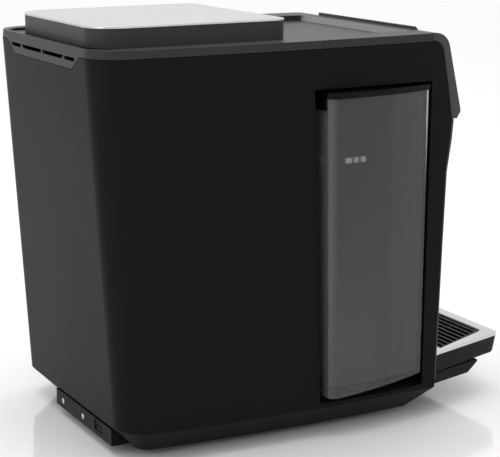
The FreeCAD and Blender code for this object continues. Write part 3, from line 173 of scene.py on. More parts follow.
# %% Wire the moulded grain
def make_moulded_grain():
    inputs = {"Grains per metre": 2600.0, "Roughness": 0.5, "Drift": 0.08}
    group, given, result = shader_group("moulded_grain", inputs, ["Height", "Roughness", "Tone"])
    vector, axes = object_axes(group)
    grain = noise(group, vector, given["Grains per metre"], 2.0)
    cloud = noise(group, vector, 7.0, 2.0)
    swing = calculate(group, "SUBTRACT", cloud, 0.5)
    drift = calculate(group, "MULTIPLY", swing, given["Drift"])
    fine = calculate(group, "MULTIPLY", calculate(group, "SUBTRACT", grain, 0.5), 0.12)
    rough = calculate(group, "ADD", calculate(group, "ADD", drift, fine), given["Roughness"])
    group.links.new(grain, result["Height"])
    group.links.new(rough, result["Roughness"])
    group.links.new(cloud, result["Tone"])
    return group


moulded_grain = make_moulded_grain()
print("group:", moulded_grain.name)

# %% [markdown]
# ### Brushed lines
# Sheet steel is brushed along one direction, so its marks are long in X and very short across.
# Stretching a noise does that: the point is squeezed along X before the noise reads it.

# %% Wire the brushed lines
def make_brushed_lines():
    inputs = {"Lines per metre": 1500.0, "Roughness": 0.3, "Depth": 0.25}
    group, given, result = shader_group("brushed_lines", inputs, ["Height", "Roughness", "Tone"])
    vector, axes = object_axes(group)
    join = group.nodes.new("ShaderNodeCombineXYZ")
    group.links.new(calculate(group, "MULTIPLY", axes[0], 0.012), join.inputs[0])
    group.links.new(axes[1], join.inputs[1])
    group.links.new(axes[2], join.inputs[2])
    lines = noise(group, join.outputs[0], given["Lines per metre"], 4.0)
    patches = noise(group, vector, 9.0, 2.0)
    swing = calculate(group, "MULTIPLY", calculate(group, "SUBTRACT", lines, 0.5), given["Depth"])
    rough = calculate(group, "ADD", swing, given["Roughness"])
    group.links.new(lines, result["Height"])
    group.links.new(rough, result["Roughness"])
    group.links.new(calculate(group, "MULTIPLY_ADD", lines, 0.5,
                              calculate(group, "MULTIPLY", patches, 0.5)), result["Tone"])
    return group


brushed_lines = make_brushed_lines()
print("group:", brushed_lines.name)

# %% [markdown]
# ### Settled dust
# Upward faces of a kitchen machine gather a little dust and handling marks. The mask is the
# upward part of the surface direction times a patchy noise, and it is kept weak.

# %% Wire the settled dust
def make_settled_dust():
    group, given, result = shader_group("settled_dust", {"Amount": 0.1}, ["Mask"])
    vector, axes = object_axes(group)
    surface = group.nodes.new("ShaderNodeNewGeometry")
    split = group.nodes.new("ShaderNodeSeparateXYZ")
    group.links.new(surface.outputs["Normal"], split.inputs[0])
    up = calculate(group, "MAXIMUM", split.outputs[2], 0.0)
    patches = noise(group, vector, 38.0, 5.0)
    mask = calculate(group, "MULTIPLY", calculate(group, "MULTIPLY", up, patches), given["Amount"])
    group.links.new(mask, result["Mask"])
    return group


settled_dust = make_settled_dust()
print("group:", settled_dust.name)

# %% [markdown]
# ### Staggered dots
# The lower part of the water tank is screened with small pale dots in staggered rows, which hide
# the tank's inside and fade out upwards. Rows are counted along Z. Along a row the count uses
# Y minus X, because that runs on round the tank's corner without a break.

# %% Wire the staggered dots
def make_staggered_dots():
    inputs = {"Pitch": 0.0028, "Dot size": 0.33, "Strong below": 0.09, "Gone above": 0.255}
    group, given, result = shader_group("staggered_dots", inputs, ["Mask"])
    vector, axes = object_axes(group)
    along = calculate(group, "DIVIDE", calculate(group, "SUBTRACT", axes[1], axes[0]),
                      given["Pitch"])
    row_height = calculate(group, "MULTIPLY", given["Pitch"], 0.75)
    up = calculate(group, "DIVIDE", axes[2], row_height)
    row = calculate(group, "FLOOR", up)
    shift = calculate(group, "MULTIPLY", calculate(group, "MODULO", row, 2.0), 0.5)
    left = calculate(group, "SUBTRACT",
                     calculate(group, "FRACT", calculate(group, "ADD", along, shift)), 0.5)
    low = calculate(group, "SUBTRACT", calculate(group, "FRACT", up), 0.5)
    far = calculate(group, "SQRT", calculate(group, "ADD", calculate(group, "MULTIPLY", left, left),
                                             calculate(group, "MULTIPLY", low, low)))
    dot = calculate(group, "LESS_THAN", far, given["Dot size"])
    fade = group.nodes.new("ShaderNodeMapRange")
    group.links.new(axes[2], fade.inputs["Value"])
    group.links.new(given["Strong below"], fade.inputs["From Min"])
    group.links.new(given["Gone above"], fade.inputs["From Max"])
    fade.inputs["To Min"].default_value = 1
    fade.inputs["To Max"].default_value = 0
    group.links.new(calculate(group, "MULTIPLY", dot, fade.outputs[0]), result["Mask"])
    return group


staggered_dots = make_staggered_dots()
print("group:", staggered_dots.name)

# %% [markdown]
# ## Finishes
# Each finish is one function of its own. The helper below makes the material with its Principled
# shader, blends two tones of the colour by a mask, and turns a height into a small bump.

# %% Start a material, blend its tones and add its bump
def new_material(name):
    material = bpy.data.materials.new(name)
    material.use_nodes = True
    tree = material.node_tree
    return material, tree, tree.nodes["Principled BSDF"]


def place_group(tree, group, **values):
    holder = tree.nodes.new("ShaderNodeGroup")
    holder.node_tree = group
    for label, value in values.items():
        holder.inputs[label.replace("_", " ")].default_value = value
    return holder.outputs


def blend_tones(tree, mask, dark, light):
    """A colour that goes from dark to light with a mask."""
    mix = tree.nodes.new("ShaderNodeMix")
    mix.data_type = "RGBA"
    if isinstance(mask, float):
        mix.inputs["Factor"].default_value = mask
    else:
        tree.links.new(mask, mix.inputs["Factor"])
    for label, colour in (("A", dark), ("B", light)):
        socket = [item for item in mix.inputs if item.name == label and item.type == "RGBA"][0]
        if isinstance(colour, tuple):
            socket.default_value = (*colour, 1)
        else:
            tree.links.new(colour, socket)
    return [item for item in mix.outputs if item.type == "RGBA"][0]


def add_bump(tree, shader, height, depth):
    bump = tree.nodes.new("ShaderNodeBump")
    bump.inputs["Distance"].default_value = depth
    bump.inputs["Strength"].default_value = 1
    tree.links.new(height, bump.inputs["Height"])
    tree.links.new(bump.outputs[0], shader.inputs["Normal"])


def grey(value, warmth=0.0):
    return (value * (1 + warmth), value, value * (1 - warmth))


# %% Moulded plastic, from matt housings to white food trays
def moulded_plastic(name, dark, light, roughness, specular, grain=2600.0, depth=0.00002,
                    dust=0.06, dust_colour=grey(0.25)):
    material, tree, shader = new_material(name)
    marks = place_group(tree, moulded_grain, Grains_per_metre=grain, Roughness=roughness)
    settled = place_group(tree, settled_dust, Amount=dust)
    body = blend_tones(tree, marks["Tone"], dark, light)
    tree.links.new(blend_tones(tree, settled["Mask"], body, dust_colour),
                   shader.inputs["Base Color"])
    tree.links.new(marks["Roughness"], shader.inputs["Roughness"])
    shader.inputs["Specular IOR Level"].default_value = specular
    add_bump(tree, shader, marks["Height"], depth)
    return material


housing_black = moulded_plastic("housing_black", grey(0.0050), grey(0.0074), 0.42, 0.06)
trim_graphite = moulded_plastic("trim_graphite", grey(0.022), grey(0.030), 0.40, 0.16,
                                dust=0.05)
lid_graphite = moulded_plastic("lid_graphite", grey(0.033), grey(0.044), 0.40, 0.16, dust=0.05)
head_graphite = moulded_plastic("head_graphite", grey(0.040), grey(0.055), 0.36, 0.26)
bay_black = moulded_plastic("bay_black", grey(0.003), grey(0.005), 0.5, 0.08)
tray_black = moulded_plastic("tray_black", grey(0.006), grey(0.010), 0.42, 0.07, dust=0.02)
cap_black = moulded_plastic("cap_black", grey(0.002), grey(0.003), 0.34, 0.10, dust=0.01)
gloss_black = moulded_plastic("gloss_black", grey(0.004), grey(0.006), 0.12, 0.5, depth=0.000002)
button_black = moulded_plastic("button_black", grey(0.020), grey(0.030), 0.28, 0.5)
food_white = moulded_plastic("food_white", grey(0.60), grey(0.68), 0.38, 0.45, dust=0.0)
foam_white = moulded_plastic("foam_white", grey(0.66, 0.02), grey(0.78, 0.02), 0.85, 0.2,
                             grain=420.0, depth=0.0004, dust=0.0)
black_rubber = moulded_plastic("black_rubber", grey(0.012), grey(0.02), 0.72, 0.25, grain=1500.0)
grey_silicone = moulded_plastic("grey_silicone", grey(0.34), grey(0.40), 0.55, 0.4)
circuit_green = moulded_plastic("circuit_green", (0.012, 0.07, 0.03), (0.02, 0.11, 0.045),
                                0.35, 0.5, dust=0.0)
print("plastics:", len(bpy.data.materials))

# %% The front top frame, with a painted highlight on the ramp in front of its finger well
def ramp_between(tree, value, start, end):
    """Zero below start, one above end and even in between; start may be the larger one."""
    rise = tree.nodes.new("ShaderNodeMapRange")
    tree.links.new(value, rise.inputs["Value"])
    rise.inputs["From Min"].default_value = start
    rise.inputs["From Max"].default_value = end
    return rise.outputs[0]


def inside(tree, value, low, high, soft):
    """One where a value lies between two limits, with a soft edge."""
    above = ramp_between(tree, value, low - soft, low)
    below = ramp_between(tree, value, high + soft, high)
    return calculate(tree, "MULTIPLY", above, below)


# The ramp in mm: its two edges behind the front of the top frame's box, and half its width.
RAMP_TOP = 9.0
RAMP_FOOT = 14.0
RAMP_HALF = 117


def frame_with_painted_ramp_highlight():
    material = moulded_plastic("frame_with_painted_ramp_highlight", grey(0.022), grey(0.030), 0.40, 0.14, dust=0.05)
    tree = material.node_tree
    shader = tree.nodes["Principled BSDF"]
    vector, axes = object_axes(tree)
    low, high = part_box("front_top_frame")
    middle = (low.x + high.x) / 2
    along = inside(tree, axes[0], middle - RAMP_HALF * MM, middle + RAMP_HALF * MM, 0.001)
    across = inside(tree, axes[1], low.y + RAMP_TOP * MM, low.y + RAMP_FOOT * MM, 0.0002)
    ramp = calculate(tree, "MULTIPLY", along, across)
    plain = shader.inputs["Base Color"].links[0].from_socket
    # Painted highlight: the ramp is painted paler, for the light its slope mirrors.
    tree.links.new(blend_tones(tree, ramp, plain, grey(0.20)), shader.inputs["Base Color"])
    return material


graphite_with_ramp_highlight = frame_with_painted_ramp_highlight()
print("frame:", graphite_with_ramp_highlight.name)

# %% Brushed and plain metals
def worked_metal(name, dark, light, roughness, lines=1500.0, metallic=1.0, depth=0.000004):
    material, tree, shader = new_material(name)
    marks = place_group(tree, brushed_lines, Lines_per_metre=lines, Roughness=roughness)
    tree.links.new(blend_tones(tree, marks["Tone"], dark, light), shader.inputs["Base Color"])
    tree.links.new(marks["Roughness"], shader.inputs["Roughness"])
    shader.inputs["Metallic"].default_value = metallic
    add_bump(tree, shader, marks["Height"], depth)
    return material


brushed_steel = worked_metal("brushed_steel", grey(0.52), grey(0.66), 0.30)
turned_steel = worked_metal("turned_steel", grey(0.50), grey(0.62), 0.24, lines=900.0)
zinc_sheet = worked_metal("zinc_sheet", grey(0.42), grey(0.56), 0.42, lines=120.0)
fin_aluminium = worked_metal("fin_aluminium", grey(0.62), grey(0.76), 0.36, lines=700.0)
copper_tube = worked_metal("copper_tube", (0.62, 0.28, 0.16), (0.75, 0.38, 0.24), 0.26)
can_paint = worked_metal("can_paint", grey(0.010), grey(0.022), 0.34, lines=60.0, metallic=0.0)
motor_paint = worked_metal("motor_paint", grey(0.14), grey(0.22), 0.4, lines=80.0, metallic=0.2)
print("materials so far:", len(bpy.data.materials))

# %% [markdown]
# ### Smoked tank
# The tank is clear plastic with a grey tint, so it shows the dark bay behind it and mirrors the
# white room. Tint and see-through are set by Alpha: a dot of the screen print is nearly opaque and
# pale, and bare plastic lets about half of the light pass. The colour also holds painted light: its
# rear half is painted darker as painted shade, a strip along its rear edge is a painted highlight,
# and the front edge of the clear wall gets a pale line, a painted highlight for the light it
# mirrors along its length. Three short bars mark the level.

# %% Smoked clear plastic with its screened dots
# Printed fill marks, in mm along the tank's skin from its rear outer corner.
LEVEL_BARS = [(-44, -38), (-34, -29), (-25, -18)]


def smoked_plastic_and_painted_light():
    material, tree, shader = new_material("smoked_plastic_and_painted_light")
    dots = place_group(tree, staggered_dots)
    marks = place_group(tree, moulded_grain, Grains_per_metre=90.0, Roughness=0.07, Drift=0.04)
    vector, axes = object_axes(tree)
    low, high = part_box("water_tank")
    depth = high.y - low.y
    # Painted shade: the tank's rear half is painted darker than its front half.
    rear_half_shade = ramp_between(tree, axes[1], low.y + depth * 0.42 - 0.003, low.y + depth * 0.42)
    screen_fade = ramp_between(tree, axes[1], low.y + depth * 0.30, low.y + depth * 0.62)
    outer = ramp_between(tree, axes[0], high.x - 0.004, high.x - 0.006)
    screened = calculate(tree, "MULTIPLY", calculate(tree, "MULTIPLY", dots["Mask"], screen_fade),
                         outer)
    tint_print_and_painted_light = blend_tones(tree, rear_half_shade, grey(0.066), grey(0.048))
    # Painted highlight: a paler strip along the tank's rear edge.
    rear_edge_highlight = ramp_between(tree, axes[1], high.y - 0.009, high.y - 0.003)
    tint_print_and_painted_light = blend_tones(tree, rear_edge_highlight, tint_print_and_painted_light, grey(0.13))
    tint_print_and_painted_light = blend_tones(tree, screened, tint_print_and_painted_light, grey(0.10))
    around = calculate(tree, "SUBTRACT", axes[1], axes[0])
    corner = high.y - low.x
    level = inside(tree, axes[2], 0.2955, 0.3005, 0.0006)
    for start, end in LEVEL_BARS:
        bar = calculate(tree, "MULTIPLY", level,
                        inside(tree, around, corner + start * MM, corner + end * MM, 0.0006))
        tint_print_and_painted_light = blend_tones(tree, bar, tint_print_and_painted_light, grey(0.34))
    # Painted highlight: a pale line up the front edge of the clear wall, for the light it mirrors;
    # the line is also made more opaque.
    edge = ramp_between(tree, axes[1], low.y + 0.0034, low.y + 0.0026)
    edge = calculate(tree, "MULTIPLY", edge, ramp_between(tree, axes[2], 0.25, 0.33))
    tint_print_and_painted_light = blend_tones(tree, edge, tint_print_and_painted_light, grey(0.42))
    tree.links.new(tint_print_and_painted_light, shader.inputs["Base Color"])
    tree.links.new(marks["Roughness"], shader.inputs["Roughness"])
    solid = calculate(tree, "MAXIMUM", calculate(tree, "MULTIPLY", screened, 0.5), edge)
    tree.links.new(calculate(tree, "MULTIPLY_ADD", solid, 0.4, 0.5), shader.inputs["Alpha"])
    shader.inputs["Specular IOR Level"].default_value = 0.55
    return material


smoked_tank_and_painted_light = smoked_plastic_and_painted_light()
print("tank material:", smoked_tank_and_painted_light.name)

# %% [markdown]
# ## Soft edges
# Nothing that is moulded or pressed has a knife edge, and on a dark machine the thin bright line
# along an edge is most of what the eye reads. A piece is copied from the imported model, its loose
# triangles are joined, flat faces are merged, and every corner sharper than a set angle is
# rounded by a Bevel. The copy stands for the CAD node, which is then hidden.

# %% Copy a node and round its edges
def plain_mesh(piece):
    """Apply the piece's modifiers and leave it as one plain mesh."""
    view = bpy.context.evaluated_depsgraph_get()
    mesh = bpy.data.meshes.new_from_object(piece.evaluated_get(view), depsgraph=view)
    piece.modifiers.clear()
    piece.data = mesh
    return piece


def joined_copy(node):
    form = bmesh.new()
    form.from_mesh(frame["nodes"][node].data)
    bmesh.ops.remove_doubles(form, verts=form.verts, dist=0.00001)
    bmesh.ops.dissolve_limit(form, angle_limit=math.radians(0.05), verts=form.verts,
                             edges=form.edges)
    mesh = bpy.data.meshes.new(f"{node}_shell")
    form.to_mesh(mesh)
    form.free()
    piece = bpy.data.objects.new(f"{node}_shell", mesh)
    scene.collection.objects.link(piece)
    return piece


body_of_node = {node: body for body, nodes in frame["record"]["behaviour"]["bodies"].items()
                for node in nodes}


def finish_piece(piece, node, material):
    """Give a piece its material and let it ride where its CAD node rides."""
    piece.data.materials.clear()
    piece.data.materials.append(material)
    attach(piece, body_of_node[node])


def weigh_normals(piece):
    """Let each large face keep its own direction, so that the rounding alone catches light."""
    piece.data.shade_smooth()
    weigh = piece.modifiers.new("face_weight", "WEIGHTED_NORMAL")
    weigh.keep_sharp = False
    weigh.weight = 100


def soften(node, width, material, sharp=30, segments=2):
    piece = joined_copy(node)
    rounding = piece.modifiers.new("round_edges", "BEVEL")
    rounding.width = width
    rounding.segments = segments
    rounding.limit_method = "ANGLE"
    rounding.angle_limit = math.radians(sharp)
    rounding.miter_outer = "MITER_ARC"
    bpy.context.view_layer.update()
    weigh_normals(piece)
    plain_mesh(piece)
    finish_piece(piece, node, material)
    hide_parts(node)
    return piece


# %% Soften the outer pieces
SOFT_EDGES = {
    "wrap_housing": (1.2, housing_black), "base_pan": (1.5, housing_black),
    "base_rear_strip": (0.8, housing_black), "front_shelf": (1.5, tray_black),
    "rear_top_frame": (0.7, trim_graphite), "front_top_frame": (0.7, graphite_with_ramp_highlight),
    "front_bezel": (1.1, head_graphite), "front_panel": (1.1, head_graphite),
    "tank_bay_liner": (1.0, bay_black), "alcove_liner": (1.0, bay_black),
    "lid": (1.0, lid_graphite), "lid_plate": (0.45, brushed_steel),
    "tank_cap": (1.2, cap_black), "water_tank": (2.6, smoked_tank_and_painted_light),
    "drip_tray": (1.2, tray_black),
    "control_glass": (0.4, gloss_black), "ice_chute": (0.7, food_white),
    "chute_flap": (0.5, food_white), "dispense_lever": (0.8, gloss_black),
    "ice_bin": (1.5, food_white), "ice_trough": (1.0, food_white),
    "power_inlet": (0.6, bay_black),
}
for node, (width, finish) in SOFT_EDGES.items():
    shell = soften(node, width * MM, finish)
    print(node, "softened:", len(shell.data.polygons), "faces")

# %% [markdown]
# ## Rows of copies
# Slats, screws, feet and fins are the same piece again and again. A Geometry Nodes tree lays
# points along a line, puts a copy of one small mesh on each point and can let the copies grow
# longer from the first to the last, which the slats of the tapering drip tray need. The result
# is then made one plain mesh, because an exported model can't hold live copies.

# %% Build the tree that repeats a piece along a line
def make_copies_tree():
    tree = bpy.data.node_groups.new("copies_along_line", "GeometryNodeTree")
    inputs = [("Piece", "NodeSocketObject"), ("Count", "NodeSocketInt"),
              ("Start", "NodeSocketVector"), ("Step", "NodeSocketVector"),
              ("First length", "NodeSocketFloat"), ("Last length", "NodeSocketFloat"),
              ("Finish", "NodeSocketMaterial")]
    for label, kind in inputs:
        tree.interface.new_socket(label, in_out="INPUT", socket_type=kind)
    tree.interface.new_socket("Geometry", in_out="OUTPUT", socket_type="NodeSocketGeometry")
    given = tree.nodes.new("NodeGroupInput").outputs
    line = tree.nodes.new("GeometryNodeMeshLine")
    source = tree.nodes.new("GeometryNodeObjectInfo")
    spread = tree.nodes.new("GeometryNodeInstanceOnPoints")
    index = tree.nodes.new("GeometryNodeInputIndex")
    length = tree.nodes.new("ShaderNodeMapRange")
    size = tree.nodes.new("ShaderNodeCombineXYZ")
    merge = tree.nodes.new("GeometryNodeRealizeInstances")
    paint = tree.nodes.new("GeometryNodeSetMaterial")
    leave = tree.nodes.new("NodeGroupOutput")
    join = tree.links.new
    join(given["Count"], line.inputs["Count"])
    join(given["Start"], line.inputs["Start Location"])
    join(given["Step"], line.inputs["Offset"])
    join(given["Piece"], source.inputs["Object"])
    join(line.outputs[0], spread.inputs["Points"])
    join(source.outputs["Geometry"], spread.inputs["Instance"])
    join(index.outputs[0], length.inputs["Value"])
    join(calculate(tree, "SUBTRACT", given["Count"], 1.0), length.inputs["From Max"])
    join(given["First length"], length.inputs["To Min"])
    join(given["Last length"], length.inputs["To Max"])
    join(length.outputs[0], size.inputs[0])
    size.inputs[1].default_value = 1
    size.inputs[2].default_value = 1
    join(size.outputs[0], spread.inputs["Scale"])
    join(spread.outputs[0], merge.inputs[0])
    join(merge.outputs[0], paint.inputs["Geometry"])
    join(given["Finish"], paint.inputs["Material"])
    join(paint.outputs[0], leave.inputs[0])
    return tree


copies_tree = make_copies_tree()
copies_socket = {item.name: item.identifier for item in copies_tree.interface.items_tree
                 if item.in_out == "INPUT"}
print("inputs:", list(copies_socket))


# %% Run the tree and join the results into one piece
def repeat(source, count, start, step, finish, lengths=(1.0, 1.0)):
    """A mesh with copies of one mesh object along a line; places are in mm."""
    holder = bpy.data.objects.new("copies", bpy.data.meshes.new("copies"))
    scene.collection.objects.link(holder)
    row = holder.modifiers.new("copies", "NODES")
    row.node_group = copies_tree
    values = {"Piece": source, "Count": count, "Start": Vector(start) * MM,
              "Step": Vector(step) * MM, "First length": lengths[0], "Last length": lengths[1],
              "Finish": finish}
    for label, value in values.items():
        row[copies_socket[label]] = value
    view = bpy.context.evaluated_depsgraph_get()
    mesh = bpy.data.meshes.new_from_object(holder.evaluated_get(view), depsgraph=view)
    bpy.data.objects.remove(holder)
    return mesh


def join_meshes(name, meshes):
    form = bmesh.new()
    for mesh in meshes:
        form.from_mesh(mesh)
    whole = bpy.data.meshes.new(name)
    form.to_mesh(whole)
    form.free()
    piece = bpy.data.objects.new(name, whole)
    scene.collection.objects.link(piece)
    return piece


def stand_for(piece, node, finish):
    finish_piece(piece, node, finish)
    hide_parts(node)
    print(piece.name, "faces:", len(piece.data.polygons))


# %% Turn a profile round an axis, and round the edges of a block
def turned(name, profile, sides=40, axis="Z"):
    """A closed round shape from (radius, height) points in mm, bottom to top."""
    form = bmesh.new()
    rings = []
    for radius, height in profile:
        if radius == 0:
            rings.append([form.verts.new((0, 0, height * MM))] * sides)
            continue
        ring = []
        for step in range(sides):
            angle = 2 * math.pi * step / sides
            spot = (radius * math.cos(angle) * MM, radius * math.sin(angle) * MM, height * MM)
            ring.append(form.verts.new(spot))
        rings.append(ring)
    for lower, upper in zip(rings, rings[1:]):
        for step in range(sides):
            after = (step + 1) % sides
            corners = [lower[step], lower[after], upper[after], upper[step]]
            form.faces.new(list(dict.fromkeys(corners)))
    if axis == "Y":
        turn_over = Matrix.Rotation(math.radians(-90), 3, "X")
        bmesh.ops.rotate(form, verts=form.verts, matrix=turn_over)
    bmesh.ops.recalc_face_normals(form, faces=form.faces)
    mesh = bpy.data.meshes.new(name)
    form.to_mesh(mesh)
    form.free()
    mesh.shade_smooth()
    mesh.set_sharp_from_angle(angle=math.radians(35))
    return bpy.data.objects.new(name, mesh)


def block(name, width, depth, height, edge, centre=(0, 0, 0)):
    """A block with rounded edges around a centre, in mm."""
    form = bmesh.new()
    bmesh.ops.create_cube(form, size=1)
    bmesh.ops.scale(form, vec=Vector((width, depth, height)) * MM, verts=form.verts)
    bmesh.ops.bevel(form, geom=form.edges, offset=edge * MM, segments=2, profile=0.5,
                    affect="EDGES")
    bmesh.ops.translate(form, vec=Vector(centre) * MM, verts=form.verts)
    mesh = bpy.data.meshes.new(name)
    form.to_mesh(mesh)
    form.free()
    return bpy.data.objects.new(name, mesh)


# %% [markdown]
# ### Drip tray
# Seen from above, the tray is a wide tongue in front of a narrower neck that enters the alcove.
# Its steel rim and the frame of its grille are rings of that plan. The grille is one moulding: a
# frame, slats across it and ribs under the slats. The tongue tapers, so its slats grow longer
# towards the cabinet, and the slats of the neck have one length: two rows of the tree.

# %% Draw a ring of the tray's plan
def tray_ring(name, node, front_half, neck_half, tongue, width, edge):
    """A flat ring as high as a node's box; the plan's sizes are in mm."""
    low, high = (Vector(corner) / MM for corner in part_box(node))
    middle = (low.x + high.x) / 2
    root_half = (high.x - low.x) / 2
    root = low.y + tongue

    def plan(inset):
        half = front_half - inset
        front = low.y + inset
        right_side = [(half - CORNER, front), (half, front + CORNER),
                      (root_half - inset, root - inset), (neck_half - inset, root - inset),
                      (neck_half - inset, high.y - inset)]
        left_side = [(-x, y) for x, y in reversed(right_side)]
        return [(middle + x, y) for x, y in right_side + left_side]

    form = bmesh.new()
    loops = []
    for inset, z in ((0, low.z), (0, high.z), (width, high.z), (width, low.z)):
        loops.append([form.verts.new(Vector((x, y, z)) * MM) for x, y in plan(inset)])
    for lower, upper in zip(loops, loops[1:] + loops[:1]):
        for step in range(len(lower)):
            after = (step + 1) % len(lower)
            form.faces.new((lower[step], lower[after], upper[after], upper[step]))
    bmesh.ops.recalc_face_normals(form, faces=form.faces)
    outline = [line for line in form.edges if len(line.link_faces) == 2
               and line.calc_face_angle() > math.radians(5)]
    bmesh.ops.bevel(form, geom=outline, offset=edge * MM, segments=2, profile=0.5,
                    affect="EDGES")
    mesh = bpy.data.meshes.new(name)
    form.to_mesh(mesh)
    form.free()
    return mesh


# Sizes in mm: the cut at the tongue's two front corners, which rim and grille share, and the
# rim's half widths, the depth of its tongue and its width.
CORNER = 6
RIM_PLAN = {"front_half": 112, "neck_half": 91, "tongue": 109.4, "width": 14}
rim = join_meshes("steel_rim", [tray_ring("rim", "tray_rim", edge=1.2, **RIM_PLAN)])
weigh_normals(rim)
stand_for(plain_mesh(rim), "tray_rim", brushed_steel)


# %% Lay the slats, the ribs and the frame of the grille
# Sizes in mm: the half widths at the front and in the neck, the depth of the wide tongue, the
# width of the frame, and the slats and ribs in it.
FRONT_HALF = 97.6
NECK_HALF = 76.6
TONGUE = 80.6
FRAME = 3
SLAT = 3.6
SLAT_PITCH = 9.0
RIB_PITCH = 62


def make_grille():
    low, high = (Vector(corner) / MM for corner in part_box("tray_grille"))
    middle = (low + high) / 2
    tall = high.z - low.z
    flare = ((high.x - low.x) / 2 - FRONT_HALF) / (TONGUE - CORNER)
    slat = block("slat", 1000, SLAT, tall - 0.1, 0.6)
    rib = block("rib", FRAME, high.y - low.y - FRAME, tall - 1.4, 0.5)
    first = SLAT_PITCH / 2 + FRAME
    wide_count = int((TONGUE - FRAME - first) / SLAT_PITCH) + 1
    widths = [2 * MM * (FRONT_HALF - 1 + (first + SLAT_PITCH * step - CORNER) * flare)
              for step in (0, wide_count - 1)]
    neck_first = first + SLAT_PITCH * wide_count
    neck_count = int((high.y - low.y - FRAME - neck_first) / SLAT_PITCH) + 1
    neck_width = 2 * MM * (NECK_HALF - 1)
    along = (0, SLAT_PITCH, 0)
    meshes = [
        repeat(slat, wide_count, (middle.x, low.y + first, middle.z), along, tray_black, widths),
        repeat(slat, neck_count, (middle.x, low.y + neck_first, middle.z), along, tray_black,
               (neck_width, neck_width)),
        repeat(rib, 3, (middle.x - RIB_PITCH, middle.y, middle.z - 0.6), (RIB_PITCH, 0, 0),
               tray_black),
        tray_ring("frame", "tray_grille", FRONT_HALF, NECK_HALF, TONGUE, FRAME, 0.5)]
    for source in (slat, rib):
        bpy.data.objects.remove(source)
    stand_for(join_meshes("drip_grille", meshes), "tray_grille", tray_black)


make_grille()

# %% [markdown]
# ### Screws and feet
# The cover screws have a domed head with a crossed slot. The head is turned, and two thin blocks
# are cut out of it. The feet are rubber plugs with a soft lower edge and a groove, and they
# stand in two rows of two.

# %% Turn a cross-head screw and set the two of them
def cut_out(piece, tools):
    for tool in tools:
        scene.collection.objects.link(tool)
        carve = piece.modifiers.new("slot", "BOOLEAN")
        carve.object = tool
        carve.solver = "EXACT"
    scene.collection.objects.link(piece)
    bpy.context.view_layer.update()
    plain_mesh(piece)
    for tool in tools:
        bpy.data.objects.remove(tool)
    scene.collection.objects.unlink(piece)


SLOT_WIDTH = 0.7
SLOT_DEPTH = 0.6


def make_cover_screws():
    low, high = (Vector(corner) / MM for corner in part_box("cover_screws"))
    radius = (high.z - low.z) / 2
    tall = high.y - low.y
    dome = [(0, 0), (radius, 0), (radius, tall * 0.35), (radius * 0.82, tall * 0.8),
            (radius * 0.45, tall), (0, tall)]
    head = turned("screw_head", dome, axis="Y")
    reach = radius * 1.3
    slots = [block("slot_a", reach, SLOT_DEPTH * 2, SLOT_WIDTH, 0.05, (0, tall, 0)),
             block("slot_b", SLOT_WIDTH, SLOT_DEPTH * 2, reach, 0.05, (0, tall, 0))]
    cut_out(head, slots)
    start = (low.x + radius, low.y, (low.z + high.z) / 2)
    step = (high.x - low.x - radius * 2, 0, 0)
    meshes = [repeat(head, 2, start, step, turned_steel)]
    bpy.data.objects.remove(head)
    stand_for(join_meshes("cross_head_screws", meshes), "cover_screws", turned_steel)


make_cover_screws()


# %% Turn a rubber foot and set two rows of two
# Half the width of a foot in mm, and its outline from the worktop up to the base pan.
FOOT_HALF = 14
FOOT_OUTLINE = [(0, 0.4), (7, 0.4), (8, 0), (11, 0), (12, 1), (12.3, 2.6), (11.7, 3.1),
                (11.7, 3.8), (12.6, 4.3)]


def make_rubber_feet():
    low, high = (Vector(corner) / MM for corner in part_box("rubber_feet"))
    tall = high.z - low.z
    foot = turned("foot", FOOT_OUTLINE + [(13.8, tall), (0, tall)])
    across = (high.x - low.x - FOOT_HALF * 2, 0, 0)
    meshes = [repeat(foot, 2, (low.x + FOOT_HALF, y, 0), across, black_rubber)
              for y in (low.y + FOOT_HALF, high.y - FOOT_HALF)]
    bpy.data.objects.remove(foot)
    stand_for(join_meshes("turned_feet", meshes), "rubber_feet", black_rubber)


make_rubber_feet()

# %% [markdown]
# ### Condenser
# The condenser behind the fan is a stack of thin aluminium fins on tubes, between two end
# plates. Fins and end plates are rows along X and the tubes a row up the block.

# %% Stack the fins on their tubes
# Sizes in mm: the fins' pitch and thickness, and the tubes' count, thickness and distance from
# the block's top and bottom.
FIN_PITCH = 2.8
FIN_THICK = 0.5
TUBES = 6
TUBE_THICK = 7
TUBE_MARGIN = 14
END_PLATE = 0.8


def make_condenser():
    low, high = (Vector(corner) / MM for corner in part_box("condenser"))
    middle = (low + high) / 2
    span = high - low
    count = int((span.x - 4) / FIN_PITCH)
    fin = block("fin", FIN_THICK, span.y - 0.4, span.z - 0.4, 0.1)
    tube = block("tube", span.x - 0.6, TUBE_THICK, TUBE_THICK, 3.2)
    plate = block("end_plate", 1.2, span.y - 0.2, span.z - 0.2, 0.3)
    first = low.x + (span.x - (count - 1) * FIN_PITCH) / 2
    rise = (span.z - TUBE_MARGIN * 2) / (TUBES - 1)
    meshes = [
        repeat(fin, count, (first, middle.y, middle.z), (FIN_PITCH, 0, 0), fin_aluminium),
        repeat(tube, TUBES, (middle.x, middle.y, low.z + TUBE_MARGIN), (0, 0, rise),
               fin_aluminium),
        repeat(plate, 2, (low.x + END_PLATE, middle.y, middle.z), (span.x - END_PLATE * 2, 0, 0),
               fin_aluminium)]
    for source in (fin, tube, plate):
        bpy.data.objects.remove(source)
    stand_for(join_meshes("finned_condenser", meshes), "condenser", fin_aluminium)


make_condenser()

# %% [markdown]
# ### Buttons
# Each button is a flat cap with a ring moulded into its face and a small raised mark of its own,
# made of a few short bars. The marks are plain shapes, not lettering.

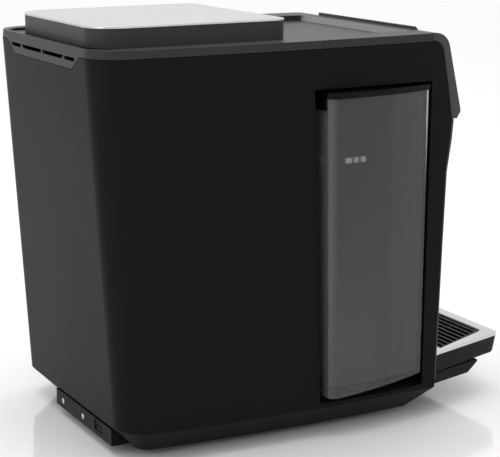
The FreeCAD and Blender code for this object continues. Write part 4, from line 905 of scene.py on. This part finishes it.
# %% Turn the buttons and add their marks
# Each mark is a list of bars: width, height and centre, across and up, in mm.
BUTTON_MARKS = {
    "power_button": [(0.7, 3.4, 0, 1.2), (3.0, 0.7, 0, -2.2)],
    "dispense_button": [(3.4, 0.7, 0, 1.5), (3.4, 0.7, 0, -1.5), (0.7, 2.4, -1.4, 0),
                        (0.7, 2.4, 1.4, 0)],
    "clean_button": [(0.7, 3.6, -1.2, 0), (0.7, 3.6, 0, -0.6), (0.7, 3.6, 1.2, 0.4)],
}
STEM = 2.4
CAP_FOOT = 3
MARK_DEPTH = 0.35


def button_outline(radius, tall):
    """From the stem's inner end to the face, with a groove round the face."""
    rim = tall - 0.4
    groove = tall - 0.8
    return [(0, 1), (STEM, 1), (STEM, CAP_FOOT), (radius, CAP_FOOT), (radius, tall - 1.1),
            (radius - 0.6, rim), (radius - 1.4, rim), (radius - 1.7, groove),
            (radius - 2.2, groove), (radius - 2.5, rim), (0, tall - 0.3)]


def make_button(node, mark):
    low, high = (Vector(corner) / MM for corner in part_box(node))
    tall = high.y - low.y
    parts = [turned(f"{node}_dome", button_outline((high.x - low.x) / 2, tall), axis="Y")]
    for width, height, across, up in mark:
        parts.append(block("mark", width, 0.5, height, 0.12, (across, tall - MARK_DEPTH, up)))
    piece = join_meshes(f"{node}_cap", [part.data for part in parts])
    for part in parts:
        bpy.data.objects.remove(part)
    inner_end = Vector(((low.x + high.x) / 2, high.y, (low.z + high.z) / 2)) * MM
    facing = Matrix.Rotation(math.radians(180), 4, "Z")
    piece.data.transform(Matrix.Translation(inner_end) @ facing)
    piece.data.update()
    stand_for(piece, node, button_black)


for node, mark in BUTTON_MARKS.items():
    make_button(node, mark)

# %% [markdown]
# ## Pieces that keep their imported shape
# Inner pieces, and small ones whose edges are already right, only need a finish.

# %% Give the other nodes their finishes
KEPT_SHAPES = {
    "control_board": circuit_green, "power_board": circuit_green, "lever_pin": turned_steel,
    "lever_spring": turned_steel, "lever_switch": bay_black, "bin_insulation": foam_white,
    "bin_stand": zinc_sheet, "bin_auger": turned_steel, "bin_gearmotor": motor_paint,
    "barrel_gearmotor": motor_paint, "freezing_barrel": turned_steel,
    "freezing_auger": turned_steel, "extruder_head": food_white,
    "ice_riser_tube": grey_silicone, "reservoir": food_white, "reservoir_lid": food_white,
    "tank_valve_seat": grey_silicone, "water_pump": bay_black, "water_hose": grey_silicone,
    "drain_plug": black_rubber, "compressor": can_paint, "compressor_grommets": black_rubber,
    "fan_shroud": bay_black, "fan_motor": motor_paint,
    "fan_rotor": bay_black, "refrigerant_pipe": copper_tube, "tank_valve": bay_black,
    "lid_seal": grey_silicone, "lid_liner": food_white, "lid_hinge_pins": turned_steel,
}
for node, finish in KEPT_SHAPES.items():
    shown = frame["nodes"][node]
    shown.data.materials.clear()
    shown.data.materials.append(finish)
print("kept shapes:", len(KEPT_SHAPES))

# %% [markdown]
# ## Studio floor
# A white, slightly polished floor. It is one plain sheet that reaches far behind the machine, and
# its polish gives the pale mirror image under the machine.

# %% Lay the floor
def lay_floor(reach):
    form = bmesh.new()
    corners = [form.verts.new((x * reach, y * reach, 0)) for x, y in
               ((-1, -1), (1, -1), (1, 1), (-1, 1))]
    form.faces.new(corners)
    mesh = bpy.data.meshes.new("studio_floor")
    form.to_mesh(mesh)
    form.free()
    floor = bpy.data.objects.new("studio_floor", mesh)
    scene.collection.objects.link(floor)
    material, tree, shader = new_material("floor_white")
    marks = place_group(tree, moulded_grain, Grains_per_metre=14.0, Roughness=0.09, Drift=0.01)
    tree.links.new(blend_tones(tree, marks["Tone"], grey(0.90), grey(0.92)),
                   shader.inputs["Base Color"])
    tree.links.new(marks["Roughness"], shader.inputs["Roughness"])
    shader.inputs["Specular IOR Level"].default_value = 0.5
    mesh.materials.append(material)
    return floor


studio_floor = lay_floor(25)
print("floor:", studio_floor.name)
